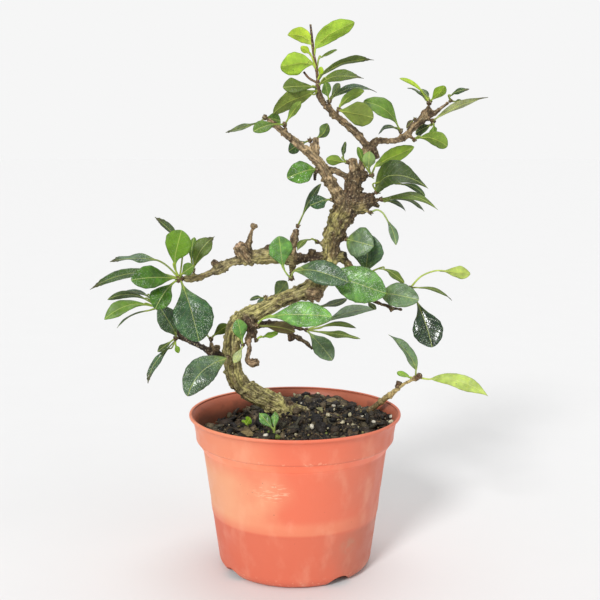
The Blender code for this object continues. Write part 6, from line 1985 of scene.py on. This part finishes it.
    def keep_inside(self, surface: Surface) -> None:
        """Draw points in to the inner wall, where they would stand in it."""
        points = surface.points
        wall = self.pot.radius_at(points[:, 2]) - self.pot.wall - self.gap
        points[:, :2] *= np.minimum(1, wall / np.hypot(points[:, 0], points[:, 1]))[:, None]

    def dead_leaves(self, draw: np.random.Generator) -> list[Surface]:
        """Lay dead leaves and flakes on the mix: brown blades that lie nearly flat."""
        made = []
        for x, y, length in self.dead_leaf_places:
            half = heading(draw.uniform(0, math.tau))[:2] * length / 2
            ends = []
            for sign in (-1, 1):
                spot = np.array([x, y]) + half * sign
                ends.append(np.array([*spot, self.rough_height(spot[0], spot[1]) + 1.2]))
            tilt = unit(np.array([draw.uniform(-0.5, 0.5), draw.uniform(-0.7, 0.1), 1.0]))
            blade = Blade(ends[0], ends[1], tilt, tilt * draw.uniform(0.2, 1.4),
                          length * draw.uniform(0.45, 0.62), draw.uniform(8, 28), 1.2, Tone.BROWN)
            surface = self.maker.skin_of(blade)
            brown = linear(self.dead_browns[draw.integers(len(self.dead_browns))])
            surface.values = {"tint": np.tile(brown * draw.uniform(0.5, 1.2), (len(surface.points), 1))}
            made.append(surface)
        return made

    def twigs(self, draw: np.random.Generator) -> list[Surface]:
        """Strew short bent twigs and bark fibres over the mix."""
        made = []
        for _ in range(self.twig_count):
            angle, radius = draw.uniform(0, math.tau), self.twig_radius * math.sqrt(draw.uniform(0, 1))
            centre = heading(angle)[:2] * radius
            turn, length = draw.uniform(0, math.tau), draw.uniform(4, 12)
            half = heading(turn)[:2] * length / 2
            spots = np.array([centre - half, centre + draw.uniform(-1, 1, 2), centre + half])
            spots = spots * np.minimum(1, self.twig_limit / np.maximum(np.hypot(*spots.T), 1))[:, None]
            heights = self.rough_height(spots[:, 0], spots[:, 1]) + draw.uniform(0.3, 1.6, 3)
            path = flow(np.column_stack([spots, heights]), 3)
            size = draw.uniform(0.22, 0.55)
            tint = linear(self.twig_brown) * draw.uniform(0.4, 1.7)
            made.append(tube(path, size * np.linspace(1, 0.6, len(path)), 5, tint))
        return made

    def build(self) -> list[Piece]:
        """Fill the pot and strew the loose bits, and return both pieces."""
        draw = np.random.default_rng(self.seed)
        body = make_piece("mix_body", [self.body()], [self.mix_finish], "soil", "soil")
        bits = [self.strewn(litter, draw) for litter in LITTER]
        bits += self.dead_leaves(draw) + self.twigs(draw)
        for bit in bits:
            self.keep_inside(bit)
        loose = make_piece("mix_loose_bits", bits, [self.grit_finish], "soil")
        return [body, loose]


# Studio


@dataclass
class Studio:
    """The plain floor, the soft light and the camera."""

    floor_half: float = 30.0
    floor_drop: float = 0.0003
    sky: float = 0.922
    lamps: tuple[tuple[str, float, float, float, float], ...] = (
        ("key", -24.0, 33.0, 2.1, 13.0),
        ("fill", 50.0, 28.0, 0.4, 50.0),
        ("top", 160.0, 72.0, 0.9, 40.0),
    )
    dome: float = 0.5

    def camera(self) -> None:
        """Set up the camera at the viewer's place, with the frame's lens and shift."""
        data = bpy.data.cameras.new("front_camera")
        data.sensor_width = 36.0
        data.lens = VIEW.focal_pixels / VIEW.frame_pixels * data.sensor_width
        data.shift_x = VIEW.shift_pixels / VIEW.frame_pixels
        camera = placed("front_camera", data)
        camera.location = VIEW.eye() * MM
        camera.rotation_euler = (math.radians(90 - VIEW.pitch), 0, 0)
        bpy.context.scene.camera = camera

    def light(self) -> None:
        """Light the plant with soft distant lamps, each by its turn, height and width."""
        for name, turn, height, strength, width in self.lamps:
            data = bpy.data.lights.new(name, "SUN")
            data.energy = strength
            data.angle = math.radians(width)
            lamp = placed(name, data)
            lamp.rotation_euler = (math.radians(90 - height), 0, math.radians(turn))

    def surround(self) -> None:
        """Make the even pale surround: what is seen is bright, what lights is dimmer."""
        world = bpy.data.worlds.new("surround")
        world.use_nodes = True
        tree = world.node_tree
        background = tree.nodes["Background"]
        background.inputs["Color"].default_value = (1.0, 1.0, 1.0, 1.0)
        rays = tree.nodes.new("ShaderNodeLightPath")
        level = tree.nodes.new("ShaderNodeMapRange")
        level.inputs["To Min"].default_value = self.dome
        level.inputs["To Max"].default_value = self.sky
        tree.links.new(rays.outputs["Is Camera Ray"], level.inputs["Value"])
        tree.links.new(level.outputs["Result"], background.inputs["Strength"])
        bpy.context.scene.world = world
        bpy.context.scene.view_settings.view_transform = "Standard"

    def floor(self) -> None:
        """Lay the pale floor just under the pot's foot."""
        mesh = bpy.data.meshes.new("floor")
        corners = [(x * self.floor_half, y * self.floor_half, -self.floor_drop)
                   for x, y in ((-1, -1), (1, -1), (1, 1), (-1, 1))]
        mesh.from_pydata(corners, [], [(0, 1, 2, 3)])
        mesh.materials.append(FloorFinish().material())
        placed("floor", mesh)

    def build(self) -> None:
        """Set up the whole studio."""
        self.camera()
        self.light()
        self.surround()
        self.floor()


def main() -> None:
    """Build the plant, the pot and the studio in order, and report each piece."""
    logging.basicConfig(level=logging.INFO, format="%(name)s: %(message)s")
    leaf = LeafFinish().material()
    bark = BarkFinish().material()
    stem = StemFinish().material()
    maker = LeafMaker()
    pieces = Foliage(maker, [leaf, bark]).build()
    pieces.append(Leader(maker, [leaf, stem]).build())
    pieces.append(SideShoot(maker, [leaf, stem]).build())
    pieces.append(SmallPlant(
        maker, [leaf], "seedling_grown", "seedling",
        ((-15.4, 85.6, -24, 1.8), (-15.2, 92, -24, 1.6), (-14.9, 96, -24, 1.6)),
        (Leaf((-15.6, 97.6, -24.4), (-25.6, 109, -22), 8, Tone.FRESH, 12, end=Tip.POINTED),
         Leaf((-14.6, 98, -23.6), (-14.2, 110.4, -18), 7, Tone.FRESH, 34, end=Tip.POINTED))).build())
    pieces.append(SmallPlant(
        maker, [leaf], "small_weed_grown", "small_weed",
        ((-34, 92, -4, 1.6), (-34, 99, -4, 1.5), (-34, 100.6, -4.4, 1.5)),
        (Leaf((-34.6, 100.8, -4.8), (-32, 105.4, -8), 6.5, Tone.LIGHT, 30, fold=6),
         Leaf((-34.6, 100.8, -3.6), (-37.4, 104, -1), 5, Tone.LIGHT, 60, fold=6))).build())
    pieces.append(Wood(bark).build())
    pot = Pot(PlasticFinish().material())
    pieces.append(pot.build())
    pieces += Mix(pot, MixFinish().material(), GritFinish().material(), maker).build()
    Studio().build()
    for piece in pieces:
        LOG.info("%s: %d triangles", piece.name, count_triangles(piece))
    LOG.info("all pieces: %d triangles", sum(count_triangles(piece) for piece in pieces))


if __name__ == "__main__":
    main()
